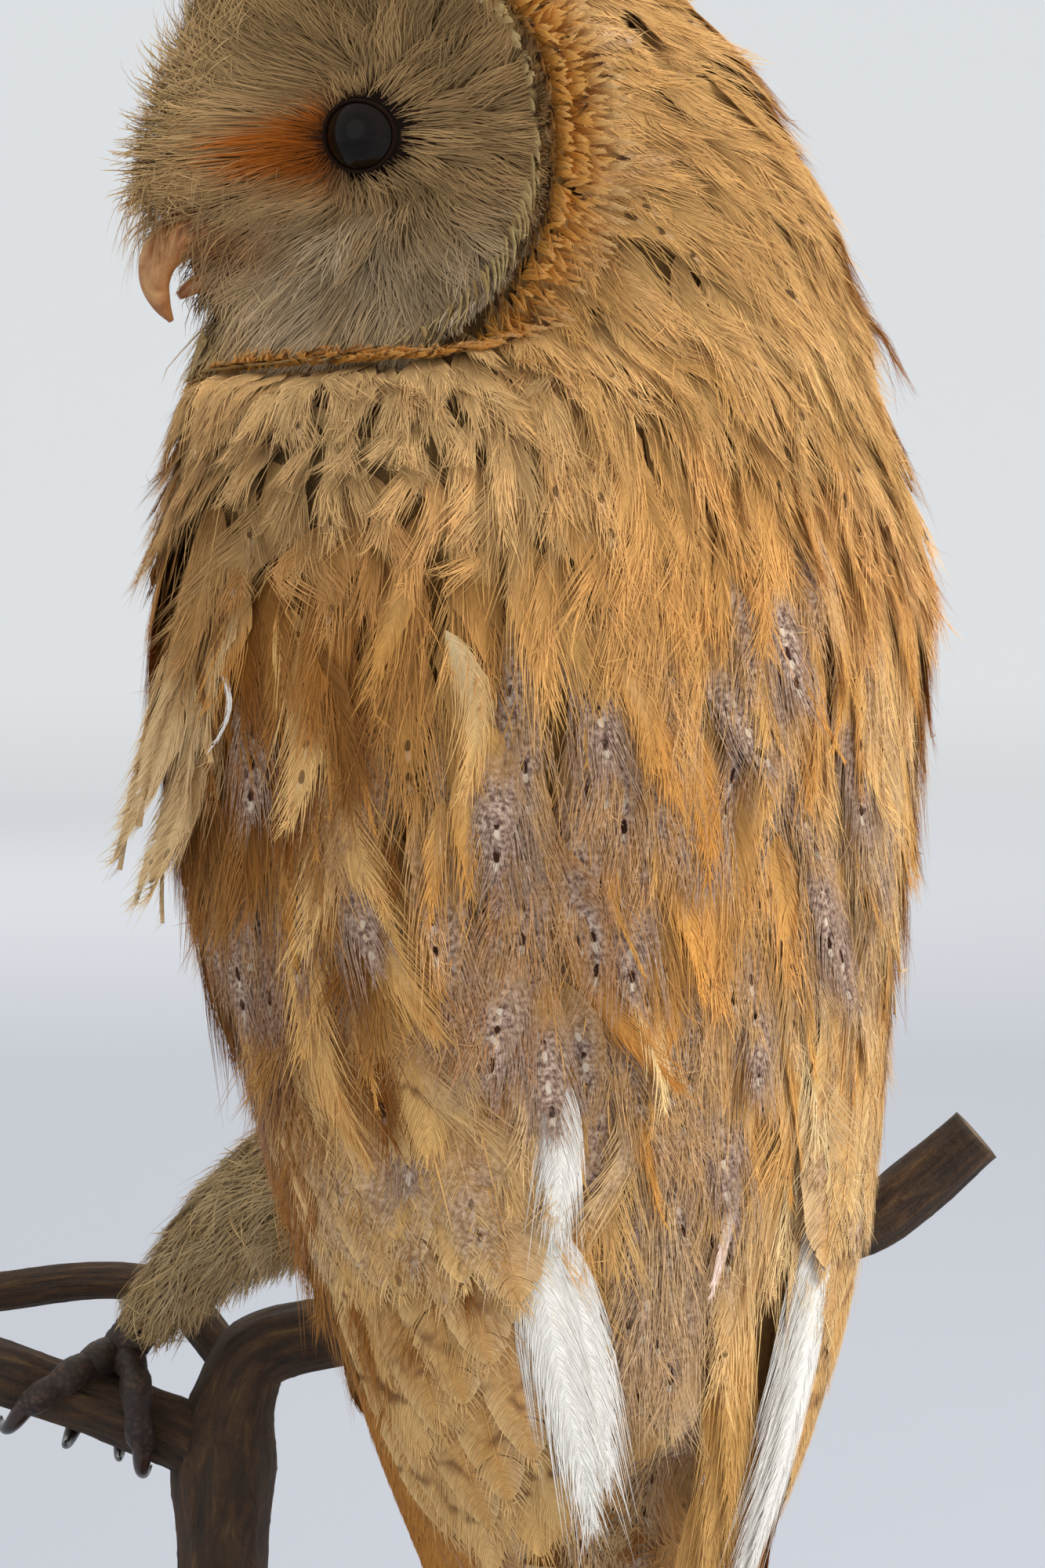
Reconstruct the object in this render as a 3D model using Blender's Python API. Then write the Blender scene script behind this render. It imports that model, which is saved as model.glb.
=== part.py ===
"""Mounted barn owl, life size, perched upright on a forked branch that stands in a turned wooden base.

Axes: +Z up, -Y the way the bird's breast points, +X the bird's left. Its head is turned a quarter turn to
its left, so the face looks along +X. The origin is the middle of the base's underside.
Lengths below are in millimetres; place() turns them into metres.
"""

import math

import bmesh
import bpy
from mathutils import Vector

# ------------------------------------------------------------------ driving sizes (mm)
BODY_BACK_OF_BASE = 30.0      # the bird's own axis stands this far behind the middle of the base
GAP = 0.35                    # clearance between touching pieces

BASE_RADIUS, BASE_HEIGHT = 94.0, 22.0

EYE_HEIGHT = 373.0            # above the floor
HEAD_TURN = -3.0              # polar angle of the face's direction, degrees from +X
HEAD_MID = (35.0, -21.0)      # midline of the head, level with the front of the eyes
EYE_SIDE = 21.5               # eye to midline
EYE_RADIUS, EYE_DEPTH = 6.3, 17.0
EYE_SPLAY = 42.0              # how far each eye looks out from straight ahead, degrees
HOOD_BACK = -60.0             # rearmost point of the head's plumage
HEAD_SIDES = 34

TRUNK_TOP, TRUNK_FOOT = 330.0, 150.0
WING_TOP, WING_JOIN = 321.0, 157.0
SECONDARY_END, WING_TIP = 134.0, 46.0
WING_THICK, FEATHER_THICK = 7.5, 2.2
TAIL_END = 57.0

# Body stations: height, middle x, middle y, half width, half depth in front, half depth behind.
BODY = (
    (46.0, 0.0, 29.0, 12.0, 5.0, 6.0),
    (70.0, 0.0, 26.0, 22.5, 9.0, 9.5),
    (100.0, 0.0, 22.0, 27.5, 15.0, 13.5),
    (127.0, 0.0, 18.0, 30.5, 20.0, 19.0),
    (147.0, -0.5, 15.0, 38.5, 26.0, 26.0),
    (170.0, -1.5, 13.0, 46.5, 31.0, 29.0),
    (194.0, -2.0, 8.5, 53.0, 37.0, 34.0),
    (220.0, -1.5, 4.5, 59.5, 43.0, 39.0),
    (245.0, -0.5, 1.0, 65.0, 47.0, 43.5),
    (270.0, 0.0, 0.0, 68.0, 50.0, 46.0),
    (292.0, 0.0, -1.0, 69.0, 50.0, 47.0),
    (312.0, 0.0, -3.5, 66.5, 48.0, 46.5),
    (330.0, 0.0, -6.0, 61.0, 44.0, 46.0),
)
# Neck and nape above the shoulders: the nape leans to the bird's right, behind the turned head.
NECK = (
    (330.4, 0.0, -6.0, 60.8, 43.8, 45.8),
    (338.0, -11.0, -8.0, 51.0, 38.0, 42.0),
    (346.0, -13.0, -6.5, 44.0, 33.0, 38.0),
    (356.0, -15.0, -5.0, 38.5, 29.5, 34.5),
    (366.0, -15.0, -4.5, 33.5, 26.0, 31.0),
    (383.0, -14.0, -6.0, 24.0, 18.0, 24.0),
    (396.0, -12.0, -8.0, 17.0, 13.0, 15.0),
    (404.0, -9.0, -10.0, 10.0, 8.0, 9.0),
)

# Branch: each limb is a run of (x, y, z, radius) stations.
LIMB_MAIN = (
    (22.5, -78.5, BASE_HEIGHT + GAP, 10.5), (22.5, -78.5, 32.0, 9.2), (24.5, -79.5, 60.0, 8.3), (26.5, -80.0, 90.0, 8.0),
    (26.2, -79.6, 112.0, 8.3), (26.0, -79.3, 128.0, 9.6), (24.0, -78.2, 140.0, 7.4), (20.0, -76.2, 148.5, 7.0),
    (7.2, -69.5, 152.5, 7.0), (-8.0, -61.5, 155.5, 6.6), (-25.0, -52.4, 159.0, 6.2), (-45.0, -41.8, 163.5, 6.0),
    (-63.0, -32.2, 167.5, 5.8), (-79.0, -23.7, 172.5, 5.7), (-88.0, -18.9, 180.0, 5.6), (-97.4, -13.9, 189.5, 5.4),
)
LIMB_LEFT = (
    (24.0, -78.4, 124.0, 6.0), (31.0, -82.2, 131.5, 6.6), (38.5, -86.2, 135.2, 6.4), (45.8, -90.1, 138.3, 6.2),
    (54.0, -94.4, 141.2, 6.1), (62.6, -99.0, 144.6, 6.3), (74.0, -105.0, 149.0, 5.9), (84.0, -110.3, 154.0, 5.6),
)
LIMB_TWIG = (
    (22.5, -79.5, 143.0, 3.6), (24.5, -89.0, 150.0, 3.9), (27.0, -102.0, 155.8, 3.7), (37.0, -110.5, 157.2, 3.6),
    (54.0, -119.5, 155.0, 3.5), (66.0, -125.8, 152.8, 3.4), (77.0, -131.5, 153.5, 3.2),
)

# Each leg's feathering: (x, y, z, radius) from the flank to the ankle.
LEG_LEFT = ((25.0, -4.0, 199.0, 16.5), (28.5, -20.0, 194.0, 14.6), (32.5, -38.0, 187.0, 12.2), (35.5, -55.0, 177.5, 9.6),
            (37.5, -70.0, 167.0, 7.4), (39.8, -83.0, 156.0, 5.8))
LEG_RIGHT = ((-25.0, -4.0, 200.0, 16.5), (-26.5, -16.0, 195.0, 14.5), (-27.0, -28.0, 190.0, 11.5), (-26.0, -38.5, 184.5, 8.6),
             (-25.4, -47.0, 177.5, 6.1))

# ------------------------------------------------------------------ scene and helpers
for old in list(bpy.data.objects):
    bpy.data.objects.remove(old, do_unlink=True)


def place(x, y, z):
    return Vector((x, y + BODY_BACK_OF_BASE, z)) * 0.001


def material(name, colour, roughness, metallic=0.0):
    m = bpy.data.materials.new(name)
    m.use_nodes = True
    shader = m.node_tree.nodes["Principled BSDF"]
    shader.inputs["Base Color"].default_value = (*colour, 1.0)
    shader.inputs["Roughness"].default_value = roughness
    shader.inputs["Metallic"].default_value = metallic
    return m


def solid(name, verts, faces, mat=None, smooth=True):
    """A closed mesh object from points in metres."""
    mesh = bpy.data.meshes.new(name)
    bm = bmesh.new()
    made = [bm.verts.new(v) for v in verts]
    for f in faces:
        bm.faces.new([made[i] for i in f])
    bmesh.ops.recalc_face_normals(bm, faces=bm.faces)
    bm.to_mesh(mesh)
    bm.free()
    if mat:
        mesh.materials.append(mat)
    if smooth:
        mesh.shade_smooth()
    thing = bpy.data.objects.new(name, mesh)
    bpy.context.scene.collection.objects.link(thing)
    return thing


def skin_rings(rings, start=None, end=None):
    """Faces over a run of closed rings of equal count, closed at each end by a point."""
    n = len(rings[0])
    verts = [p for ring in rings for p in ring]
    faces = []
    for j in range(len(rings) - 1):
        for i in range(n):
            k = (i + 1) % n
            a, b, c, d = j * n + i, j * n + k, (j + 1) * n + k, (j + 1) * n + i
            faces += [(a, b, c), (a, c, d)]
    for ring, tip, at in ((rings[0], start, 0), (rings[-1], end, (len(rings) - 1) * n)):
        if tip is None:
            tip = sum(ring, Vector()) / n
        verts.append(tip)
        faces += [(at + i, at + (i + 1) % n, len(verts) - 1) for i in range(n)]
    return verts, faces


def cutter(thing, target, kind="DIFFERENCE"):
    """A hidden shape that trims or joins another piece."""
    thing.hide_render = True
    thing.display_type = "WIRE"
    mod = target.modifiers.new(thing.name, "BOOLEAN")
    mod.operation = kind
    mod.object = thing
    mod.solver = "EXACT"
    return mod


def eased(table, at):
    """Smooth (Catmull-Rom) reading of a table of stations whose first column rises."""
    n = len(table)
    at = min(max(at, table[0][0]), table[-1][0])
    i = max(k for k in range(n - 1) if table[k][0] <= at + 1e-9)
    a, b = table[i], table[i + 1]
    before, after = table[max(i - 1, 0)], table[min(i + 2, n - 1)]
    span = b[0] - a[0]
    t = (at - a[0]) / span
    out = []
    for c in range(1, len(a)):
        sa = (b[c] - before[c]) / (b[0] - before[0]) * span
        sb = (after[c] - a[c]) / (after[0] - a[0]) * span
        h = (2 * t**3 - 3 * t**2 + 1) * a[c] + (t**3 - 2 * t**2 + t) * sa
        out.append(h + (-2 * t**3 + 3 * t**2) * b[c] + (t**3 - t**2) * sb)
    return out


def bump(x, middle, reach):
    """1 at the middle, falling smoothly to 0 at the reach."""
    d = min(1.0, abs(x - middle) / reach)
    return (1 - d * d) ** 2


def limb_rings(stations, sides, grow=0.0, squash=1.0):
    """Rings round a bent limb, held square to it without twisting."""
    pts = [Vector(s[:3]) for s in stations]
    rings, side = [], None
    for i, s in enumerate(stations):
        along = (pts[min(i + 1, len(pts) - 1)] - pts[max(i - 1, 0)]).normalized()
        if side is None:
            side = along.orthogonal().normalized()
        side = (side - along * side.dot(along)).normalized()
        up = along.cross(side)
        r = s[3] + grow
        rings.append([place(*(pts[i] + side * math.cos(a) * r + up * math.sin(a) * r * squash))
                      for a in (2 * math.pi * k / sides for k in range(sides))])
    return rings


def limb(name, stations, sides, mat=None, grow=0.0, squash=1.0):
    verts, faces = skin_rings(limb_rings(stations, sides, grow, squash))
    return solid(name, verts, faces, mat)


# ------------------------------------------------------------------ materials
BUFF = material("plumage_buff", (0.55, 0.33, 0.13), 0.85)
GREY = material("plumage_grey", (0.42, 0.33, 0.27), 0.85)
PALE = material("plumage_pale", (0.72, 0.62, 0.46), 0.85)
EYE = material("glass_eye", (0.03, 0.02, 0.015), 0.08)
HORN = material("bill_horn", (0.55, 0.40, 0.30), 0.45)
TOES = material("dried_toes", (0.12, 0.08, 0.055), 0.6)
CLAW = material("claw_horn", (0.06, 0.05, 0.05), 0.35)
BARK = material("branch_bark", (0.12, 0.09, 0.06), 0.8)
WOOD = material("base_wood", (0.16, 0.08, 0.04), 0.4)

# ------------------------------------------------------------------ trunk and wings share one set of lines
BACK_COLS = 3
WING_COLS = (0.0, 0.07, 0.17, 0.28, 0.39, 0.47, 0.55, 0.64, 0.73, 0.82, 0.91, 1.0)
FRONT_COLS = 4
SHARED_ROWS = (WING_TOP, 313.0, 303.0, 290.0, 275.0, 258.0, 241.0, 224.0, 207.0, 190.0, 173.0, WING_JOIN)


def wing_back_edge(z):
    """Angle of the wing's inner edge from the middle of the back, degrees."""
    fold = max(0.0, (150.0 - z) / 104.0)       # the primaries fold in over the tail
    return 22.0 + 14.0 * min(1.0, max(0.0, (z - 150.0) / 110.0)) - 82.0 * fold ** 1.5


def wing_front_edge(z):
    """Angle of the wing's leading edge."""
    return 120.0 + 6.0 * bump(z, 300.0, 60.0) - 48.0 * max(0.0, (150.0 - z) / 104.0)


def body_point(z, angle, inset=0.0):
    """A point on the body's outer feathers: angle from the middle of the back, positive to the bird's left."""
    cx, cy, half, front, back = eased(BODY, z)
    a = math.radians(angle)
    swell = (4.5 if angle < 0 else 0.5) * bump(z, 292.0, 30.0) * bump(abs(angle), 98.0, 42.0)
    swell -= 8.0 * bump(z, 340.0, 28.0) * bump(angle, 40.0, 62.0)     # under the turned chin
    depth = back if math.cos(a) > 0 else front
    x, y = half * math.sin(a), depth * math.cos(a)
    r = math.hypot(x, y)
    k = (r + swell - inset) / r
    return Vector((cx + x * k, cy + y * k, z))


def wing_depth(z, s):
    """Thickness of the folded wing at height z, s from its inner edge (0) to its leading edge (1)."""
    full = FEATHER_THICK + (WING_THICK - FEATHER_THICK) * min(1.0, max(0.0, (z - 140.0) / 120.0))
    full = full * (0.35 + 0.65 * min(1.0, (WING_TOP + 4.0 - z) / 30.0))
    return max(1.3, full * (0.32 + 0.68 * math.sin(math.pi * s) ** 0.6))


def trunk_ring(z, grow=0.0, shrink=1.0):
    ring = []
    wing_here = WING_JOIN - 0.5 <= z <= WING_TOP + 0.5
    tb, tf = wing_back_edge(z), wing_front_edge(z)
    half = [(tb * i / BACK_COLS, None) for i in range(BACK_COLS)]
    half += [(tb + (tf - tb) * s, s) for s in WING_COLS]
    half += [(tf + (180.0 - tf) * i / FRONT_COLS, None) for i in range(1, FRONT_COLS + 1)]
    both = half + [(-a, s) for a, s in reversed(half[1:-1])]
    cx, cy = eased(BODY, z)[:2]
    for angle, s in both:
        inset = wing_depth(z, s) + GAP if (s is not None and wing_here) else 0.0
        p = body_point(z, angle, inset - grow)
        ring.append(place(cx + (p.x - cx) * shrink, cy + (p.y - cy) * shrink, z))
    return ring


def trunk(name, mat=None, grow=0.0):
    rows = [(TRUNK_TOP, 1.0), (WING_TOP + 4.0, 1.0)] + [(z, 1.0) for z in SHARED_ROWS]
    rows += [(WING_JOIN - 3.0, 0.86), (TRUNK_FOOT, 0.72)]
    rings = []
    for z, k in rows:
        rings.append(trunk_ring(z, grow, k if z >= WING_JOIN else k))
    verts, faces = skin_rings(rings)
    return solid(name, verts, faces, mat)


def wing_end(s):
    """Height of the wing's lower edge: rounded secondaries inside, long primaries towards the leading edge."""
    if s <= 0.5:
        return SECONDARY_END + 6.0 * (1 - math.sin(math.pi * min(1.0, s / 0.5))) ** 2
    t = (s - 0.5) / 0.5
    return WING_TIP + 1.0 + 62.0 * (1 - min(1.0, t / 0.75)) ** 1.5 + 9.0 * max(0.0, (t - 0.75) / 0.25) ** 1.6


def wing(name, side, mat):
    """The folded wing: a curved blade with an outer face on the body's outline and an inner face over the trunk."""
    outer, inner = [], []
    below = (0.0, 0.14, 0.3, 0.48, 0.68, 0.86, 1.0)
    for z in SHARED_ROWS:
        tb, tf = wing_back_edge(z), wing_front_edge(z)
        outer.append([body_point(z, side * (tb + (tf - tb) * s)) for s in WING_COLS])
        inner.append([body_point(z, side * (tb + (tf - tb) * s), wing_depth(z, s)) for s in WING_COLS])
    for v in below[1:]:
        o, i = [], []
        for s in WING_COLS:
            z = WING_JOIN + (wing_end(s) - WING_JOIN) * v
            tb, tf = wing_back_edge(z), wing_front_edge(z)
            angle = side * (tb + (tf - tb) * s)
            thick = max(1.0, wing_depth(z, s) * (1.0 - 0.25 * v))
            o.append(body_point(z, angle))
            i.append(body_point(z, angle, thick))
        outer.append(o)
        inner.append(i)
    rows, cols = len(outer), len(WING_COLS)
    verts = [place(*p) for grid in (outer, inner) for row in grid for p in row]
    at = lambda layer, j, i: layer * rows * cols + j * cols + i
    faces = []
    for j in range(rows - 1):
        for i in range(cols - 1):
            for layer in (0, 1):
                a, b, c, d = at(layer, j, i), at(layer, j, i + 1), at(layer, j + 1, i + 1), at(layer, j + 1, i)
                # the same diagonal as the trunk's own rings, so the faces stay parallel
                faces += [(a, b, c), (a, c, d)] if side > 0 else [(a, b, d), (b, c, d)]
    rim = [(0, i) for i in range(cols)] + [(j, cols - 1) for j in range(1, rows)]
    rim += [(rows - 1, i) for i in range(cols - 2, -1, -1)] + [(j, 0) for j in range(rows - 2, 0, -1)]
    for k, (j, i) in enumerate(rim):
        j2, i2 = rim[(k + 1) % len(rim)]
        a, b, c, d = at(0, j, i), at(0, j2, i2), at(1, j2, i2), at(1, j, i)
        faces += [(a, b, c), (a, c, d)]
    return solid(name, verts, faces, mat)


trunk("trunk", BUFF)
wing("wing_left", 1, BUFF)
wing("wing_right", -1, BUFF)

# ------------------------------------------------------------------ tail: a narrow closed fan under the wing tips
def tail_section(v):
    z = TRUNK_FOOT - GAP + (TAIL_END - TRUNK_FOOT + GAP) * v
    mid = 16.0 + 12.0 * v ** 0.8
    root = max(0.0, 1.0 - v / 0.32) ** 1.6     # the feathering of the rump runs down onto it
    half = 20.0 - 2.5 * v + 3.0 * root
    thick = 5.6 - 3.0 * v + 17.0 * root
    return z, mid, half, thick


tail_rings = []
for v in (0.0, 0.08, 0.18, 0.32, 0.5, 0.7, 0.88, 1.0):
    z, mid, half, thick = tail_section(v)
    if v > 0.85:
        half *= 0.84 if v == 1.0 else 0.98
    ring = []
    for k in range(16):
        a = 2 * math.pi * k / 16
        x = half * math.copysign(abs(math.cos(a)) ** 0.8, math.cos(a))
        y = 0.5 * thick * math.copysign(abs(math.sin(a)) ** 0.7, math.sin(a)) - 2.2 * (x / half) ** 2
        ring.append(place(x, mid + y, z + (2.2 * (x / half) ** 2 if v == 1.0 else 0.0)))
    tail_rings.append(ring)
solid("tail", *skin_rings(tail_rings), BUFF)

# ------------------------------------------------------------------ head
FACE = Vector((math.cos(math.radians(HEAD_TURN)), math.sin(math.radians(HEAD_TURN)), 0.0))
CHEEK = Vector((-FACE.y, FACE.x, 0.0))          # the bird's own left side of its face


def head_place(f, l, u):
    p = Vector((HEAD_MID[0], HEAD_MID[1], EYE_HEIGHT)) + FACE * f + CHEEK * l + Vector((0, 0, u))
    return place(*p)


RUFF = ((0.0, 34.0), (30.0, 40.5), (60.0, 42.0), (90.0, 43.0), (115.0, 45.2), (138.0, 47.8), (160.0, 44.5), (180.0, 35.5))
RIDGE = ((-46.0, 14.0), (-36.0, 17.5), (-27.0, 21.0), (-18.0, 27.5), (-10.0, 30.0), (0.0, 29.5), (10.0, 25.5), (22.0, 19.5),
         (34.0, 10.5), (44.0, 2.0))


def ruff_radius(turn):
    """Distance of the ruff from the face's axis; turn is 0 at the crown, 180 at the chin."""
    turn = abs((turn + 180.0) % 360.0 - 180.0)
    return eased(RUFF, turn)[0]


def ruff_forward(turn):
    c = math.cos(math.radians(turn))
    return -24.7 + (34.7 if c > 0 else 42.7) * abs(c) ** 3


def face_forward(l, u):
    """How far forward the face stands at a place: two shallow dishes that meet in a narrow ridge."""
    dish = 3.0 - 0.0151 * l * l + (0.0045 * u * u if u < 0 else 0.0)
    dish += 3.0 * math.exp(-((abs(l) - EYE_SIDE) ** 2 + u * u) / 100.0)       # the lids stand up a little
    return dish + (eased(RIDGE, u)[0] - dish) * math.exp(-((l / 8.0) ** 2))


def head_rings(grow=0.0):
    rings = []
    for t in (0.1, 0.24, 0.38, 0.52, 0.66, 0.82, 0.94):
        ring = []
        for k in range(HEAD_SIDES):
            turn = 360.0 * k / HEAD_SIDES
            a = math.radians(turn)
            rho = ruff_radius(turn) * t
            l, u = rho * math.sin(a), rho * math.cos(a)
            f = face_forward(l, u)
            blend = min(1.0, max(0.0, (t - 0.6) / 0.4)) ** 2
            ring.append((f * (1 - blend) + ruff_forward(turn) * blend, l, u))
        rings.append(ring)
    for q in (0.0, 0.12, 0.28, 0.45, 0.6, 0.75, 0.88, 0.96):
        ring = []
        for k in range(HEAD_SIDES):
            turn = 360.0 * k / HEAD_SIDES
            a = math.radians(turn)
            crown = max(0.0, math.cos(a)) ** 1.5
            swell = 1.0 + (0.30 * crown + 0.05) * math.sin(math.pi * min(1.0, q / 0.8))
            rho = ruff_radius(turn) * math.cos(q * math.pi / 2) ** 0.85 * swell
            f = ruff_forward(turn) + (HOOD_BACK - ruff_forward(turn)) * math.sin(q * math.pi / 2)
            ring.append((f, rho * math.sin(a), rho * math.cos(a)))
        rings.append(ring)
    return rings


def head_solid(name, mat=None, grow=0.0):
    rings = head_rings()
    place_ring = [[head_place(*p) for p in ring] for ring in rings]
    tip = head_place(face_forward(0.0, 0.0), 0.0, 0.0)
    tail_tip = head_place(HOOD_BACK, 0.0, 0.0)
    thing = solid(name, *skin_rings(place_ring, tip, tail_tip), mat)
    if grow:
        mesh = thing.data
        moved = [v.co + v.normal * grow * 0.001 for v in mesh.vertices]
        for v, p in zip(mesh.vertices, moved):
            v.co = p
    return thing


head = head_solid("head", PALE)


def eye_profile(grow=0.0):
    """Half section of the eye: (back from the cornea's front, radius)."""
    r = EYE_RADIUS + grow
    lens = [(r * 0.62 * (1 - math.cos(math.radians(a))) - grow, r * math.sin(math.radians(a))) for a in (22, 45, 68, 90)]
    barrel = [(7.5, r + 0.9), (EYE_DEPTH - 5.0, r + 0.6), (EYE_DEPTH - 1.4 + grow, r - 1.6)]
    return lens + barrel


def eye_solid(name, side, mat=None, grow=0.0, cut=False):
    a = math.radians(EYE_SPLAY)
    look = FACE * math.cos(a) + CHEEK * side * math.sin(a)
    across = look.cross(Vector((0, 0, 1))).normalized()
    front = Vector((HEAD_MID[0], HEAD_MID[1], EYE_HEIGHT)) + CHEEK * side * EYE_SIDE
    profile = eye_profile(grow)
    if cut:                                   # the socket is open to the front
        profile = [(-9.0, EYE_RADIUS + grow), (3.9, EYE_RADIUS + grow)] + profile[4:]
    rings = []
    for back, r in profile:
        rings.append([place(*(front - look * back + (across * math.cos(t) + Vector((0, 0, 1)) * math.sin(t)) * r))
                      for t in (2 * math.pi * k / 16 for k in range(16))])
    tip = None if cut else place(*(front + look * grow))
    return solid(name, *skin_rings(rings, tip, None), mat)


eye_solid("eye_left", 1, EYE)
eye_solid("eye_right", -1, EYE)
cutter(eye_solid("socket_left", 1, grow=GAP, cut=True), head)
cutter(eye_solid("socket_right", -1, grow=GAP, cut=True), head)

# Bill: (forward, up, half width, half height) along each half.
UPPER = ((12.0, -14.0, 4.4, 4.2), (19.0, -15.3, 4.4, 4.2), (24.2, -17.4, 4.0, 3.8), (27.4, -20.6, 3.3, 3.2), (28.3, -24.4, 2.5, 2.5),
         (27.2, -28.2, 1.5, 1.6), (25.4, -31.2, 0.4, 0.45))
LOWER = ((10.0, -22.5, 3.4, 2.0), (16.0, -23.6, 3.3, 1.9), (20.6, -25.0, 2.5, 1.6), (24.0, -27.0, 0.8, 0.7))


def bill_half(name, run, mat=None, grow=0.0, shift=0.0):
    rings = []
    for i, (f, u, w, h) in enumerate(run):
        f0, u0 = run[max(i - 1, 0)][:2]
        f1, u1 = run[min(i + 1, len(run) - 1)][:2]
        n = math.hypot(f1 - f0, u1 - u0)
        df, du = (f1 - f0) / n, (u1 - u0) / n
        back = shift if i == 0 else 0.0
        ring = []
        for k in range(12):
            a = 2 * math.pi * k / 12
            side, high = math.cos(a) * (w + grow), math.sin(a) * (h + grow)
            ring.append(head_place(f - df * back - du * high, side, u - du * back + df * high))
        rings.append(ring)
    return solid(name, *skin_rings(rings), mat)


bill_half("bill_upper", UPPER, HORN)
bill_half("bill_lower", LOWER, HORN)
cutter(bill_half("bill_upper_seat", UPPER, None, GAP, GAP), head)
cutter(bill_half("bill_lower_seat", LOWER, None, GAP, GAP), head)

# ------------------------------------------------------------------ neck: wraps the back of the head
neck_rings = []
for z, cx, cy, half, front, back in NECK:
    ring = []
    for k in range(32):
        a = 2 * math.pi * k / 32
        x, y = half * math.sin(a), math.cos(a) * (back if math.cos(a) > 0 else front)
        dent = (8.0 if z < TRUNK_TOP + 1.0 else 7.0) * bump(z, 340.0, 28.0)       # hollow under the turned chin
        dent *= bump((math.degrees(a) + 180.0) % 360.0 - 180.0, 40.0 if z < TRUNK_TOP + 1.0 else 50.0, 62.0)
        shrink = 1.0 - dent / math.hypot(x, y)
        x, y = x * shrink, y * shrink
        ring.append(place(cx + x, cy + y, z))
    neck_rings.append(ring)
neck = solid("neck", *skin_rings(neck_rings), BUFF)
cutter(head_solid("head_seat", None, GAP), neck)

# ------------------------------------------------------------------ legs, trimmed where they leave the flank
for side, stations in (("left", LEG_LEFT), ("right", LEG_RIGHT)):
    leg = limb("leg_" + side, stations, 16, PALE)
    cutter(trunk("flank_" + side, None, GAP), leg)

# ------------------------------------------------------------------ feet: two toes ahead, two behind the perch
def perch_frame(stations, at):
    """Point, direction, up and forward on a limb, at a fraction between two of its stations."""
    i = int(at)
    a, b = Vector(stations[i][:3]), Vector(stations[i + 1][:3])
    mid = a.lerp(b, at - i)
    radius = stations[i][3] + (stations[i + 1][3] - stations[i][3]) * (at - i)
    before, after = Vector(stations[max(i - 1, 0)][:3]), Vector(stations[min(i + 2, len(stations) - 1)][:3])
    along = (b - a + (after - before) * 0.5).normalized()
    up = (Vector((0, 0, 1)) - along * along.z).normalized()
    ahead = along.cross(up)
    if ahead.y > 0:
        ahead = -ahead
    return mid, radius, along, up, ahead


def toe_run(frame, start, end, sweep, lift, thick, steps):
    """Centre line of a toe that curls over the perch; start and end are shifts along the perch."""
    mid, radius, along, up, ahead = frame
    run = []
    for k in range(steps + 1):
        t = k / steps
        a = math.radians(sweep[0] + (sweep[1] - sweep[0]) * t)
        knuckle = 0.5 * math.sin(3 * math.pi * t) ** 2
        r = thick[0] + (thick[1] - thick[0]) * t + knuckle
        out = radius + r + 0.45 + lift * math.sin(math.pi * t) ** 2 + 0.6 * (1 - t)
        p = mid + along * (start + (end - start) * t) + (up * math.cos(a) + ahead * math.sin(a)) * out
        run.append((*p, r))
    return run


def claw_run(frame, start, end, sweep, thick, length):
    """Centre line of a claw that carries on from its toe and hooks round the perch."""
    mid, radius, along, up, ahead = frame
    run, steps = [], 5
    out0 = radius + thick[1] + 0.45
    turn = math.degrees(length / (radius + 2.0)) * (1 if sweep[1] > sweep[0] else -1)
    skip = math.degrees(2.6 * GAP / out0) * (1 if turn > 0 else -1)
    for k in range(steps + 1):
        t = k / steps
        a = math.radians(sweep[1] + skip + turn * t)
        r = 1.75 * (1 - t) ** 0.8 + 0.28
        out = out0 * (1 - t) + (radius + 2.2) * t + 1.1 * math.sin(math.pi * t)
        p = mid + along * (end + (end - start) * 0.3 * t) + (up * math.cos(a) + ahead * math.sin(a)) * out
        run.append((*p, r))
    return run


def flat_limb(name, stations, sides, mat=None):
    return limb(name, stations, sides, mat)


FEET = {
    "left": (LIMB_LEFT, 3.0, LEG_LEFT, (
        (-0.5, -9.5, (-3, -108), 3.2, (3.0, 2.3), 11.0),      # hind toe, held a little off the perch
        (-0.8, -5.0, (4, 104), 0.0, (2.9, 2.3), 11.5),        # inner toe, ahead
        (0.4, 3.5, (5, 112), 0.0, (3.0, 2.3), 12.5),          # middle toe, ahead
        (0.8, 13.5, (-5, -104), 0.0, (3.0, 2.3), 12.0),       # outer toe, behind
    )),
    "right": (LIMB_MAIN, 10.0, LEG_RIGHT, (
        (-0.5, -9.5, (-3, -104), 1.2, (3.0, 2.3), 11.0),
        (-0.8, -5.0, (4, 104), 0.0, (2.9, 2.3), 11.5),
        (0.4, 3.5, (5, 112), 0.0, (3.0, 2.3), 12.5),
        (0.8, 12.5, (-5, -104), 0.0, (3.0, 2.3), 12.0),
    )),
}
for side, (perch, at, leg, toes) in FEET.items():
    frame = perch_frame(perch, at)
    mid, radius, along, up, ahead = frame
    ankle, above = Vector(leg[-1][:3]), Vector(leg[-2][:3])
    down = (ankle - above).normalized()
    top = ankle + down * GAP
    pad = mid + up * (radius + 4.1)
    stub = [(*top, 4.3), (*(top + down * 2.0), 4.2), (*(top + down * 2.0).lerp(pad, 0.55), 4.1), (*(pad - up * 1.5), 3.4), (*(pad - up * 3.2), 2.0)]
    foot = flat_limb("foot_" + side, stub, 10, TOES)
    for n, (start, end, sweep, lift, thick, claw) in enumerate(toes, 1):
        run = toe_run(frame, start, end, sweep, lift, thick, 6)
        cutter(flat_limb(f"toe_{side}_{n}", run, 7), foot, "UNION")
        limb(f"claw_{side}_{n}", claw_run(frame, start, end, sweep, thick, claw), 6, CLAW)

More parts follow.
